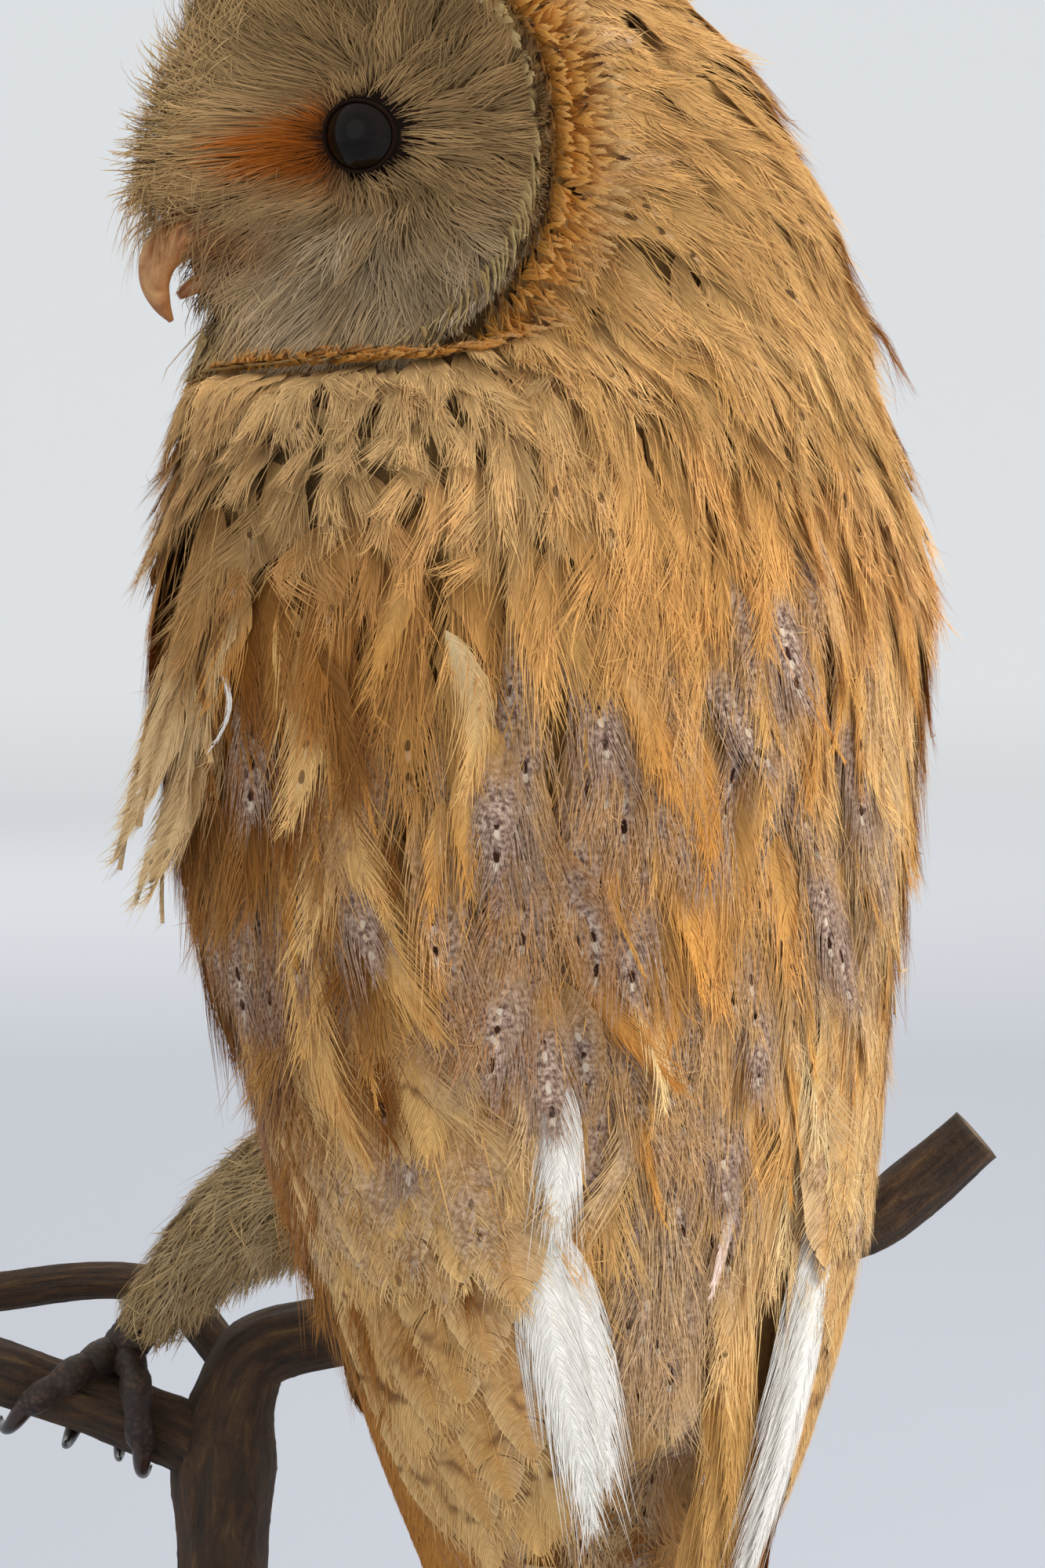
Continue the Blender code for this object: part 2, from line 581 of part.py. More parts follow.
# ------------------------------------------------------------------ branch
branch = limb("branch", LIMB_MAIN, 12, BARK)
cutter(limb("branch_left_limb", LIMB_LEFT, 11), branch, "UNION")
cutter(limb("branch_twig", LIMB_TWIG, 9), branch, "UNION")

# ------------------------------------------------------------------ base: a turned round of wood
profile = ((BASE_RADIUS - 2.0, 0.0), (BASE_RADIUS, 2.0), (BASE_RADIUS, 8.5), (BASE_RADIUS - 1.5, 10.5), (BASE_RADIUS - 4.5, 11.5),
           (BASE_RADIUS - 8.5, 15.0), (BASE_RADIUS - 10.5, 20.0), (BASE_RADIUS - 12.0, BASE_HEIGHT))
rings = [[Vector((r * math.cos(t), r * math.sin(t), z)) * 0.001 for t in (2 * math.pi * k / 36 for k in range(36))]
         for r, z in profile]
base = solid("stand_base", *skin_rings(rings), WOOD, smooth=True)
base.data.set_sharp_from_angle(angle=math.radians(35))
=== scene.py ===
"""Looks of the mounted barn owl: skin, feathers, eyes, bill, feet, branch and base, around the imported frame."""
import math
import time

import bmesh
import bpy
import numpy as np
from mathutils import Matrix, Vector
from mathutils.bvhtree import BVHTree

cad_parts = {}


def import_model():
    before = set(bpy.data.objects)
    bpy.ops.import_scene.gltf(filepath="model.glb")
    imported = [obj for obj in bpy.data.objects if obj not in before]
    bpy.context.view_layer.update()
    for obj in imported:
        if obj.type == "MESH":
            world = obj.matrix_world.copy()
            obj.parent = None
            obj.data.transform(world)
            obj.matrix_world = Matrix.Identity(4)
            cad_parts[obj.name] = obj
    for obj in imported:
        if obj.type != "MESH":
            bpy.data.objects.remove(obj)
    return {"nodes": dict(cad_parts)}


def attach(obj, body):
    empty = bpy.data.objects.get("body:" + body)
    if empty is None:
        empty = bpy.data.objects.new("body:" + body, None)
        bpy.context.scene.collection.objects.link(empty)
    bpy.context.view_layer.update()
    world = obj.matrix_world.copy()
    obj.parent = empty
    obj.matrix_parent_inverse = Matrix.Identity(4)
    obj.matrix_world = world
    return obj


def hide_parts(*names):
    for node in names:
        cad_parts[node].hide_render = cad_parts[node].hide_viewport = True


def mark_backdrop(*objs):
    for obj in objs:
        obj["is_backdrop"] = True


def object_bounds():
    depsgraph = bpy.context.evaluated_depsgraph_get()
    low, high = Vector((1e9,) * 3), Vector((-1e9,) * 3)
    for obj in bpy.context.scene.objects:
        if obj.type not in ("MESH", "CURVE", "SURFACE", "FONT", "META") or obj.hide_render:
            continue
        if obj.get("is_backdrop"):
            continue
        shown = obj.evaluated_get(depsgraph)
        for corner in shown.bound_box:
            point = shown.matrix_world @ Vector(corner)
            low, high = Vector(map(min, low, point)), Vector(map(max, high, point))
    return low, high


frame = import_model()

STARTED = time.time()
CAD_BOX = [list(v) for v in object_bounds()]
NODES = frame["nodes"]
rng = np.random.RandomState(20417)

# Lengths are in millimetres in the bird's own frame (its axis stands BACK mm behind the base's middle);
# world() turns them into the frame's metres.
BACK = 30.0
EYE_Z = 373.0
HEAD_TURN = math.radians(-3.0)
HEAD_MID = np.array([35.0, -21.0, EYE_Z])
FACE = np.array([math.cos(HEAD_TURN), math.sin(HEAD_TURN), 0.0])
CHEEK = np.array([-FACE[1], FACE[0], 0.0])
UP = np.array([0.0, 0.0, 1.0])
EYE_SIDE, EYE_R, EYE_SPLAY = 21.5, 6.3, math.radians(42.0)


def world(p):
    p = np.asarray(p, float)
    return (p + np.array([0.0, BACK, 0.0])) * 0.001


def lin(r, g, b):
    out = []
    for c in (r, g, b):
        c = c / 255.0
        out.append(c / 12.92 if c <= 0.04045 else ((c + 0.055) / 1.055) ** 2.4)
    return np.array(out)


# ------------------------------------------------------------------ the body's lines, as in the solids
BODY = (
    (46.0, 0.0, 29.0, 12.0, 5.0, 6.0),
    (70.0, 0.0, 26.0, 22.5, 9.0, 9.5),
    (100.0, 0.0, 22.0, 27.5, 15.0, 13.5),
    (127.0, 0.0, 18.0, 30.5, 20.0, 19.0),
    (147.0, -0.5, 15.0, 38.5, 26.0, 26.0),
    (170.0, -1.5, 13.0, 46.5, 31.0, 29.0),
    (194.0, -2.0, 8.5, 53.0, 37.0, 34.0),
    (220.0, -1.5, 4.5, 59.5, 43.0, 39.0),
    (245.0, -0.5, 1.0, 65.0, 47.0, 43.5),
    (270.0, 0.0, 0.0, 68.0, 50.0, 46.0),
    (292.0, 0.0, -1.0, 69.0, 50.0, 47.0),
    (312.0, 0.0, -3.5, 66.5, 48.0, 46.5),
    (330.0, 0.0, -6.0, 61.0, 44.0, 46.0),
)
RUFF = ((0.0, 34.0), (30.0, 40.5), (60.0, 42.0), (90.0, 43.0), (115.0, 45.2), (138.0, 47.8), (160.0, 44.5), (180.0, 35.5))
RIDGE = ((-46.0, 14.0), (-36.0, 17.5), (-27.0, 21.0), (-18.0, 27.5), (-10.0, 30.0), (0.0, 29.5), (10.0, 25.5), (22.0, 19.5),
         (34.0, 10.5), (44.0, 2.0))
WING_TOP, WING_JOIN = 321.0, 157.0


def eased(table, at):
    """Smooth reading of a table of stations, for an array of heights."""
    t = np.asarray(table, float)
    at = np.clip(np.asarray(at, float), t[0, 0], t[-1, 0])
    i = np.clip(np.searchsorted(t[:, 0], at, side="right") - 1, 0, len(t) - 2)
    a, b = t[i], t[i + 1]
    before, after = t[np.maximum(i - 1, 0)], t[np.minimum(i + 2, len(t) - 1)]
    span = (b[..., 0] - a[..., 0])[..., None]
    u = (at[..., None] - a[..., :1]) / span
    sa = (b - before) / (b[..., :1] - before[..., :1]) * span
    sb = (after - a) / (after[..., :1] - a[..., :1]) * span
    h = (2 * u**3 - 3 * u**2 + 1) * a + (u**3 - 2 * u**2 + u) * sa + (-2 * u**3 + 3 * u**2) * b + (u**3 - u**2) * sb
    return h[..., 1:]


def bump(x, middle, reach):
    d = np.minimum(1.0, np.abs(np.asarray(x, float) - middle) / reach)
    return (1 - d * d) ** 2


def wing_back_edge(z):
    z = np.asarray(z, float)
    fold = np.maximum(0.0, (150.0 - z) / 104.0)
    return 22.0 + 14.0 * np.clip((z - 150.0) / 110.0, 0, 1) - 82.0 * fold ** 1.5


def wing_front_edge(z):
    z = np.asarray(z, float)
    return 120.0 + 6.0 * bump(z, 300.0, 60.0) - 48.0 * np.maximum(0.0, (150.0 - z) / 104.0)


def body_point(z, angle, inset=0.0):
    z, angle, inset = np.broadcast_arrays(np.asarray(z, float), np.asarray(angle, float), np.asarray(inset, float))
    s = eased(BODY, z)
    cx, cy, half, front, back = (s[..., k] for k in range(5))
    a = np.radians(angle)
    swell = np.where(angle < 0, 4.5, 0.5) * bump(z, 292.0, 30.0) * bump(np.abs(angle), 98.0, 42.0)
    swell = swell - 8.0 * bump(z, 340.0, 28.0) * bump(angle, 40.0, 62.0)
    x, y = half * np.sin(a), np.where(np.cos(a) > 0, back, front) * np.cos(a)
    r = np.hypot(x, y)
    k = (r + swell - inset) / r
    return np.stack([cx + x * k, cy + y * k, z], -1)


def wing_point(z, s, side, inset=0.0):
    tb, tf = wing_back_edge(z), wing_front_edge(z)
    return body_point(z, side * (tb + (tf - tb) * np.asarray(s, float)), inset)


def head_point(f, l, u):
    f, l, u = np.broadcast_arrays(np.asarray(f, float), np.asarray(l, float), np.asarray(u, float))
    return HEAD_MID + f[..., None] * FACE + l[..., None] * CHEEK + u[..., None] * UP


def head_coords(p):
    q = np.asarray(p, float) - HEAD_MID
    return q @ FACE, q @ CHEEK, q[..., 2]


def ruff_radius(turn):
    turn = np.abs((np.asarray(turn, float) + 180.0) % 360.0 - 180.0)
    return eased(RUFF, turn)[..., 0]


def ruff_forward(turn):
    c = np.cos(np.radians(turn))
    return -24.7 + np.where(c > 0, 34.7, 42.7) * np.abs(c) ** 3


def face_forward(l, u):
    dish = 3.0 - 0.0151 * l * l + np.where(u < 0, 0.0045 * u * u, 0.0)
    dish = dish + 3.0 * np.exp(-((np.abs(l) - EYE_SIDE) ** 2 + u * u) / 100.0)
    f = dish + (eased(RIDGE, u)[..., 0] - dish) * np.exp(-((l / 8.0) ** 2))
    turn = np.degrees(np.arctan2(l, u))
    t = np.hypot(l, u) / ruff_radius(turn)
    blend = np.clip((t - 0.6) / 0.4, 0, 1) ** 2
    return f * (1 - blend) + ruff_forward(turn) * blend


# ------------------------------------------------------------------ materials
def nodes_of(name):
    m = bpy.data.materials.new(name)
    m.use_nodes = True
    nt = m.node_tree
    return m, nt, nt.nodes["Principled BSDF"]


def add(nt, kind, **settings):
    n = nt.nodes.new(kind)
    for k, v in settings.items():
        setattr(n, k, v)
    return n


def maths(nt, op, a, b=None, c=None, clamp=False):
    n = nt.nodes.new("ShaderNodeMath")
    n.operation, n.use_clamp = op, clamp
    for i, v in enumerate((a, b, c)):
        if v is None:
            continue
        if isinstance(v, (int, float)):
            n.inputs[i].default_value = v
        else:
            nt.links.new(v, n.inputs[i])
    return n.outputs[0]


def mix(nt, fac, a, b, blend="MIX"):
    n = nt.nodes.new("ShaderNodeMix")
    n.data_type, n.blend_type = "RGBA", blend
    for sock, v in ((n.inputs[0], fac), (n.inputs[6], a), (n.inputs[7], b)):
        if isinstance(v, (int, float)):
            sock.default_value = v
        elif isinstance(v, (tuple, list, np.ndarray)):
            sock.default_value = (*[float(x) for x in v][:3], 1.0)
        else:
            nt.links.new(v, sock)
    return n.outputs[2]


def ramp(nt, fac, stops):
    n = nt.nodes.new("ShaderNodeValToRGB")
    e = n.color_ramp.elements
    while len(e) < len(stops):
        e.new(0.5)
    for el, (pos, col) in zip(e, stops):
        el.position = pos
        el.color = (*[float(x) for x in col][:3], 1.0)
    nt.links.new(fac, n.inputs[0])
    return n.outputs[0]


def noise(nt, vec, scale, detail=2.0, rough=0.5, distort=0.0):
    n = nt.nodes.new("ShaderNodeTexNoise")
    n.inputs["Scale"].default_value = scale
    n.inputs["Detail"].default_value = detail
    n.inputs["Roughness"].default_value = rough
    n.inputs["Distortion"].default_value = distort
    if vec is not None:
        nt.links.new(vec, n.inputs["Vector"])
    return n.outputs["Fac"]


def attribute(nt, name):
    n = nt.nodes.new("ShaderNodeAttribute")
    n.attribute_name = name
    return n


def split(nt, vec):
    n = nt.nodes.new("ShaderNodeSeparateXYZ")
    nt.links.new(vec, n.inputs[0])
    return n.outputs


def combine(nt, x, y, z):
    n = nt.nodes.new("ShaderNodeCombineXYZ")
    for i, v in enumerate((x, y, z)):
        if isinstance(v, (int, float)):
            n.inputs[i].default_value = v
        else:
            nt.links.new(v, n.inputs[i])
    return n.outputs[0]


def bumped(nt, shader, height, strength, distance):
    n = nt.nodes.new("ShaderNodeBump")
    n.inputs["Strength"].default_value = strength
    n.inputs["Distance"].default_value = distance
    nt.links.new(height, n.inputs["Height"])
    nt.links.new(n.outputs[0], shader.inputs["Normal"])


def object_coords(nt):
    return nt.nodes.new("ShaderNodeTexCoord").outputs["Object"]


def plumage_material():
    """Feathers: base tint per barb lock, then vermiculation, shaft spots and bars laid out in each feather's own coordinates."""
    m, nt, sh = nodes_of("plumage")
    tint = attribute(nt, "tint").outputs["Color"]
    fx = split(nt, attribute(nt, "fx").outputs["Vector"])        # across from the shaft, back from the tip (mm), seed
    mk = split(nt, attribute(nt, "mk").outputs["Vector"])        # amounts of grey, spots, bars
    lk = split(nt, attribute(nt, "lk").outputs["Vector"])        # across and along the barb lock (mm), seed
    obj = object_coords(nt)
    # fine hair lines along the barbs
    lines = noise(nt, combine(nt, maths(nt, "MULTIPLY", lk[0], 4.2), maths(nt, "MULTIPLY", lk[1], 0.25),
                              maths(nt, "MULTIPLY", lk[2], 37.0)), 1.0, 0.0, 0.6)
    shade = maths(nt, "MULTIPLY_ADD", lines, 0.66, 0.67)
    col = mix(nt, 1.0, tint, combine(nt, shade, shade, shade), "MULTIPLY")
    # vermiculation: fine dark and pale flecks
    fleck = noise(nt, obj, 1250.0, 1.0, 0.55)
    grey = ramp(nt, fleck, ((0.33, lin(104, 80, 70)), (0.45, lin(150, 124, 110)), (0.56, lin(184, 158, 140)), (0.70, lin(212, 188, 168))))
    edge = noise(nt, obj, 260.0, 0.0, 0.5)
    amount = maths(nt, "MULTIPLY", mk[0], maths(nt, "MULTIPLY_ADD", edge, 0.9, 0.55), clamp=True)
    col = mix(nt, amount, col, grey)
    # spots along the shaft, dark then pale, repeated up the feather
    wob = noise(nt, combine(nt, maths(nt, "MULTIPLY", fx[2], 91.0), maths(nt, "MULTIPLY", fx[1], 0.35), 0.0), 1.0, 1.0)
    d = maths(nt, "ADD", fx[1], maths(nt, "MULTIPLY", wob, 1.6))
    dd = maths(nt, "MODULO", d, 5.4)
    near = maths(nt, "LESS_THAN", d, maths(nt, "MULTIPLY_ADD", maths(nt, "FRACT", maths(nt, "MULTIPLY", fx[2], 7.31)), 15.0, 5.0))
    across = maths(nt, "MULTIPLY_ADD", wob, 0.8, -0.4)
    bb = maths(nt, "ADD", fx[0], across)

    def spot(at, rx, ry):
        ex = maths(nt, "POWER", maths(nt, "ABSOLUTE", maths(nt, "DIVIDE", bb, rx)), 2.0)
        ey = maths(nt, "POWER", maths(nt, "ABSOLUTE", maths(nt, "DIVIDE", maths(nt, "SUBTRACT", dd, at), ry)), 2.0)
        s = maths(nt, "SUBTRACT", 1.35, maths(nt, "ADD", ex, ey))
        s = maths(nt, "MULTIPLY", s, 2.2, clamp=True)
        return maths(nt, "MULTIPLY", maths(nt, "MULTIPLY", s, near), mk[1], clamp=True)

    pale = maths(nt, "MULTIPLY_ADD", mk[0], 0.7, 0.22)
    col = mix(nt, maths(nt, "MULTIPLY", spot(1.7, 0.45, 0.75), pale), col, lin(216, 200, 178))
    drop = maths(nt, "MULTIPLY", maths(nt, "SUBTRACT", edge, 0.40), 9.0, clamp=True)
    col = mix(nt, maths(nt, "MULTIPLY", spot(3.4, 0.50, 1.05), drop), col, lin(58, 32, 20))
    # bars on the long feathers: broken brown chevrons
    ab = maths(nt, "ABSOLUTE", fx[0])
    bd = maths(nt, "ADD", maths(nt, "SUBTRACT", fx[1], maths(nt, "MULTIPLY", ab, 0.55)), maths(nt, "MULTIPLY", edge, 5.0))
    bm = maths(nt, "PINGPONG", maths(nt, "ADD", bd, 3.0), 8.0)
    band = maths(nt, "MULTIPLY", maths(nt, "SUBTRACT", 2.1, bm), 0.55, clamp=True)
    brk = maths(nt, "MULTIPLY", maths(nt, "SUBTRACT", noise(nt, obj, 420.0, 0.0, 0.6), 0.36), 4.0, clamp=True)
    col = mix(nt, maths(nt, "MULTIPLY", maths(nt, "MULTIPLY", band, brk), mk[2], clamp=True), col, lin(128, 88, 56))
    nt.links.new(col, sh.inputs["Base Color"])
    bumped(nt, sh, lines, 0.55, 0.00022)
    sh.inputs["Roughness"].default_value = 0.72
    sh.inputs["Specular IOR Level"].default_value = 0.14
    return m


def skin_material():
    m, nt, sh = nodes_of("skin")
    tint = attribute(nt, "tint").outputs["Color"]
    obj = object_coords(nt)
    n1 = noise(nt, obj, 900.0, 3.0, 0.6, 0.4)
    shade = maths(nt, "MULTIPLY_ADD", n1, 0.9, 0.3)
    nt.links.new(mix(nt, 1.0, tint, combine(nt, shade, shade, shade), "MULTIPLY"), sh.inputs["Base Color"])
    sh.inputs["Roughness"].default_value = 0.9
    sh.inputs["Specular IOR Level"].default_value = 0.12
    bumped(nt, sh, n1, 0.5, 0.0006)
    return m


def eye_material():
    m, nt, sh = nodes_of("glass_eye")
    at = attribute(nt, "tint").outputs["Color"]
    n1 = noise(nt, object_coords(nt), 700.0, 3.0, 0.6)
    nt.links.new(mix(nt, maths(nt, "MULTIPLY", n1, 0.5), at, lin(30, 20, 16)), sh.inputs["Base Color"])
    sh.inputs["Roughness"].default_value = 0.07
    sh.inputs["Specular IOR Level"].default_value = 0.16
    return m


def horn_material(name, low, high, rough, scale):
    m, nt, sh = nodes_of(name)
    tint = attribute(nt, "tint").outputs["Color"]
    n1 = noise(nt, object_coords(nt), scale, 3.0, 0.6, 0.6)
    col = ramp(nt, n1, ((0.3, low), (0.7, high)))
    nt.links.new(mix(nt, 1.0, tint, col, "MULTIPLY"), sh.inputs["Base Color"])
    nt.links.new(maths(nt, "MULTIPLY_ADD", n1, 0.25, rough - 0.12), sh.inputs["Roughness"])
    bumped(nt, sh, n1, 0.25, 0.0003)
    return m


def toes_material():
    m, nt, sh = nodes_of("toes")
    obj = object_coords(nt)
    v = nt.nodes.new("ShaderNodeTexVoronoi")
    v.inputs["Scale"].default_value = 900.0
    nt.links.new(obj, v.inputs["Vector"])
    n1 = noise(nt, obj, 160.0, 3.0, 0.6)
    base = ramp(nt, n1, ((0.3, lin(46, 31, 24)), (0.55, lin(82, 57, 42)), (0.8, lin(120, 88, 66))))
    rim = maths(nt, "MULTIPLY", v.outputs["Distance"], 1.6, clamp=True)
    nt.links.new(mix(nt, rim, base, lin(38, 26, 20)), sh.inputs["Base Color"])
    sh.inputs["Roughness"].default_value = 0.62
    bumped(nt, sh, v.outputs["Distance"], -0.6, 0.0006)
    return m


def bark_material():
    m, nt, sh = nodes_of("bark")
    tint = attribute(nt, "tint").outputs["Color"]
    fx = attribute(nt, "fx").outputs["Vector"]                   # round the limb and along it
    obj = object_coords(nt)
    long_grain = noise(nt, fx, 1.0, 4.0, 0.65, 0.5)
    patch = noise(nt, obj, 90.0, 3.0, 0.6)
    fine = noise(nt, obj, 900.0, 3.0, 0.7)
    bark = ramp(nt, long_grain, ((0.28, lin(24, 15, 9)), (0.45, lin(56, 38, 22)), (0.6, lin(80, 56, 33)), (0.8, lin(124, 94, 60))))
    bark = mix(nt, maths(nt, "MULTIPLY", maths(nt, "SUBTRACT", patch, 0.45), 2.4, clamp=True), bark, lin(62, 48, 28))
    sp = split(nt, tint)
    cut = ramp(nt, noise(nt, obj, 500.0, 3.0, 0.6), ((0.3, lin(116, 88, 60)), (0.7, lin(156, 126, 92))))
    col = mix(nt, sp[0], bark, cut)
    shade = maths(nt, "MULTIPLY_ADD", fine, 0.7, 0.62)
    nt.links.new(mix(nt, 1.0, col, combine(nt, shade, shade, shade), "MULTIPLY"), sh.inputs["Base Color"])
    nt.links.new(maths(nt, "MULTIPLY_ADD", long_grain, 0.2, 0.68), sh.inputs["Roughness"])
    bumped(nt, sh, maths(nt, "ADD", long_grain, maths(nt, "MULTIPLY", fine, 0.35)), 0.8, 0.0012)
    return m


def wood_material():
    m, nt, sh = nodes_of("base_wood")
    obj = object_coords(nt)
    mp = nt.nodes.new("ShaderNodeMapping")
    mp.inputs["Scale"].default_value = (14.0, 1.6, 14.0)
    mp.inputs["Rotation"].default_value = (0.05, 0.03, 0.4)
    nt.links.new(obj, mp.inputs["Vector"])
    g = noise(nt, mp.outputs[0], 9.0, 5.0, 0.6, 1.2)
    pores = noise(nt, mp.outputs[0], 130.0, 2.0, 0.5)
    col = ramp(nt, g, ((0.3, lin(48, 25, 14)), (0.5, lin(84, 46, 25)), (0.7, lin(118, 70, 38))))
    dark = maths(nt, "MULTIPLY", maths(nt, "SUBTRACT", 0.42, pores), 5.0, clamp=True)
    col = mix(nt, maths(nt, "MULTIPLY", dark, 0.6), col, lin(34, 18, 11))
    nt.links.new(col, sh.inputs["Base Color"])
    nt.links.new(maths(nt, "MULTIPLY_ADD", g, 0.18, 0.42), sh.inputs["Roughness"])
    sh.inputs["Coat Weight"].default_value = 0.12
    sh.inputs["Coat Roughness"].default_value = 0.2
    bumped(nt, sh, maths(nt, "ADD", g, maths(nt, "MULTIPLY", pores, 0.4)), 0.15, 0.0005)
    return m


PLUMAGE, SKIN, EYE, BARK, WOOD, TOES = (plumage_material(), skin_material(), eye_material(), bark_material(),
                                        wood_material(), toes_material())
HORN = horn_material("bill_horn", lin(186, 132, 88), lin(250, 214, 172), 0.42, 260.0)
CLAW = horn_material("claw_horn", lin(170, 160, 158), lin(255, 250, 246), 0.3, 300.0)


# ------------------------------------------------------------------ meshes
def link(obj):
    bpy.context.scene.collection.objects.link(obj)
    return obj


def mesh_object(name, verts, quads=None, tris=None, mat=None, attrs=None, uv=None, smooth=True):
    """A mesh from arrays: verts in bird millimetres, quads (n,4), tris (n,3), attrs {name: (kind, array)}, uv per vertex."""
    me = bpy.data.meshes.new(name)
    verts = world(verts).astype(np.float32)
    quads = np.zeros((0, 4), np.int32) if quads is None else np.asarray(quads, np.int32)
    tris = np.zeros((0, 3), np.int32) if tris is None else np.asarray(tris, np.int32)
    loops = np.concatenate([quads.ravel(), tris.ravel()])
    me.vertices.add(len(verts))
    me.vertices.foreach_set("co", verts.ravel())
    me.loops.add(len(loops))
    me.loops.foreach_set("vertex_index", loops)
    starts = np.concatenate([np.arange(len(quads)) * 4, len(quads) * 4 + np.arange(len(tris)) * 3]).astype(np.int32)
    me.polygons.add(len(starts))
    me.polygons.foreach_set("loop_start", starts)
    me.polygons.foreach_set("use_smooth", np.full(len(starts), smooth))
    me.update(calc_edges=True)
    for key, (kind, data) in (attrs or {}).items():
        at = me.attributes.new(key, kind, "POINT")
        if kind == "FLOAT_COLOR":
            data = np.concatenate([np.asarray(data, np.float32), np.ones((len(verts), 1), np.float32)], 1)
            at.data.foreach_set("color", data.astype(np.float32).ravel())
        else:
            at.data.foreach_set("vector", np.asarray(data, np.float32).ravel())
    if uv is not None:
        layer = me.uv_layers.new(name="OFBake")
        layer.uv.foreach_set("vector", np.asarray(uv, np.float32)[loops].ravel())
    if mat:
        me.materials.append(mat)
    obj = link(bpy.data.objects.new(name, me))
    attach(obj, "root")
    return obj


def joined_nodes(names):
    """The named solids as one bmesh, in bird millimetres."""
    verts, faces, base = [], [], 0
    for n in names:
        me = NODES[n].data
        co = np.empty(len(me.vertices) * 3)
        me.vertices.foreach_get("co", co)
        co = co.reshape(-1, 3) * 1000.0 - np.array([0.0, BACK, 0.0])
        me.calc_loop_triangles()
        t = np.empty(len(me.loop_triangles) * 3, np.int32)
        me.loop_triangles.foreach_get("vertices", t)
        verts.append(co)
        faces.append(t.reshape(-1, 3) + base)
        base += len(co)
    return np.concatenate(verts), np.concatenate(faces)


def cropped(names, low=None):
    """A bmesh of the named solids, closed and cut off below a height."""
    v, f = joined_nodes(names)
    bm = bmesh.new()
    made = [bm.verts.new(p) for p in v]
    for t in f:
        try:
            bm.faces.new([made[i] for i in t])
        except ValueError:
            pass
    bmesh.ops.remove_doubles(bm, verts=bm.verts, dist=0.01)
    if low is not None:
        cut = bmesh.ops.bisect_plane(bm, geom=bm.verts[:] + bm.edges[:] + bm.faces[:], plane_co=(0, 0, low), plane_no=(0, 0, 1),
                                     clear_inner=True)
        edges = [e for e in cut["geom_cut"] if isinstance(e, bmesh.types.BMEdge)]
        bmesh.ops.holes_fill(bm, edges=edges, sides=0)
    bmesh.ops.recalc_face_normals(bm, faces=bm.faces)
    return bm


def remeshed(parts, grow, voxel, smooth):
    """One closed surface round several solids: grown a little so the thin cuts between them close."""
    me = bpy.data.meshes.new("tmp")
    whole = bmesh.new()
    for bm in parts:
        tmp = bpy.data.meshes.new("tmp_part")
        bm.normal_update()
        for v in bm.verts:
            v.co = v.co + v.normal * grow
        bm.to_mesh(tmp)
        bm.free()
        whole.from_mesh(tmp)
        bpy.data.meshes.remove(tmp)
    whole.to_mesh(me)
    whole.free()
    obj = link(bpy.data.objects.new("tmp", me))
    mod = obj.modifiers.new("r", "REMESH")
    mod.mode, mod.voxel_size, mod.use_smooth_shade = "VOXEL", voxel, True
    sm = obj.modifiers.new("s", "SMOOTH")
    sm.iterations, sm.factor = smooth, 0.5
    dg = bpy.context.evaluated_depsgraph_get()
    out = bpy.data.meshes.new_from_object(obj.evaluated_get(dg))
    bpy.data.objects.remove(obj)
    co = np.empty(len(out.vertices) * 3)
    out.vertices.foreach_get("co", co)
    no = np.empty(len(out.vertices) * 3)
    out.vertices.foreach_get("normal", no)
    out.calc_loop_triangles()
    t = np.empty(len(out.loop_triangles) * 3, np.int32)
    out.loop_triangles.foreach_get("vertices", t)
    polys = [tuple(p.vertices) for p in out.polygons]
    bpy.data.meshes.remove(out)
    return co.reshape(-1, 3), no.reshape(-1, 3), t.reshape(-1, 3), polys


class Surface:
    """A smooth surface that can be asked for its nearest point and shading normal."""

    def __init__(self, co, no, tris):
        self.co, self.no, self.tris = co, no, tris
        self.tree = BVHTree.FromPolygons([Vector(p) for p in co], [tuple(int(i) for i in t) for t in tris])

    def nearest(self, points):
        points = np.asarray(points, float)
        shape = points.shape
        flat = points.reshape(-1, 3)
        loc, idx = np.empty_like(flat), np.empty(len(flat), int)
        find = self.tree.find_nearest
        for k, p in enumerate(flat):
            hit = find(p)
            loc[k], idx[k] = hit[0], hit[2]
        t = self.tris[idx]
        a, b, c = self.co[t[:, 0]], self.co[t[:, 1]], self.co[t[:, 2]]
        v0, v1, v2 = b - a, c - a, loc - a
        d00, d01, d11 = (v0 * v0).sum(1), (v0 * v1).sum(1), (v1 * v1).sum(1)
        d20, d21 = (v2 * v0).sum(1), (v2 * v1).sum(1)
        den = np.maximum(d00 * d11 - d01 * d01, 1e-12)
        wb, wc = (d11 * d20 - d01 * d21) / den, (d00 * d21 - d01 * d20) / den
        wa = 1 - wb - wc
        n = self.no[t[:, 0]] * wa[:, None] + self.no[t[:, 1]] * wb[:, None] + self.no[t[:, 2]] * wc[:, None]
        n /= np.linalg.norm(n, axis=1, keepdims=True) + 1e-12
        return loc.reshape(shape), n.reshape(shape)


def unit(v):
    return v / (np.linalg.norm(v, axis=-1, keepdims=True) + 1e-12)


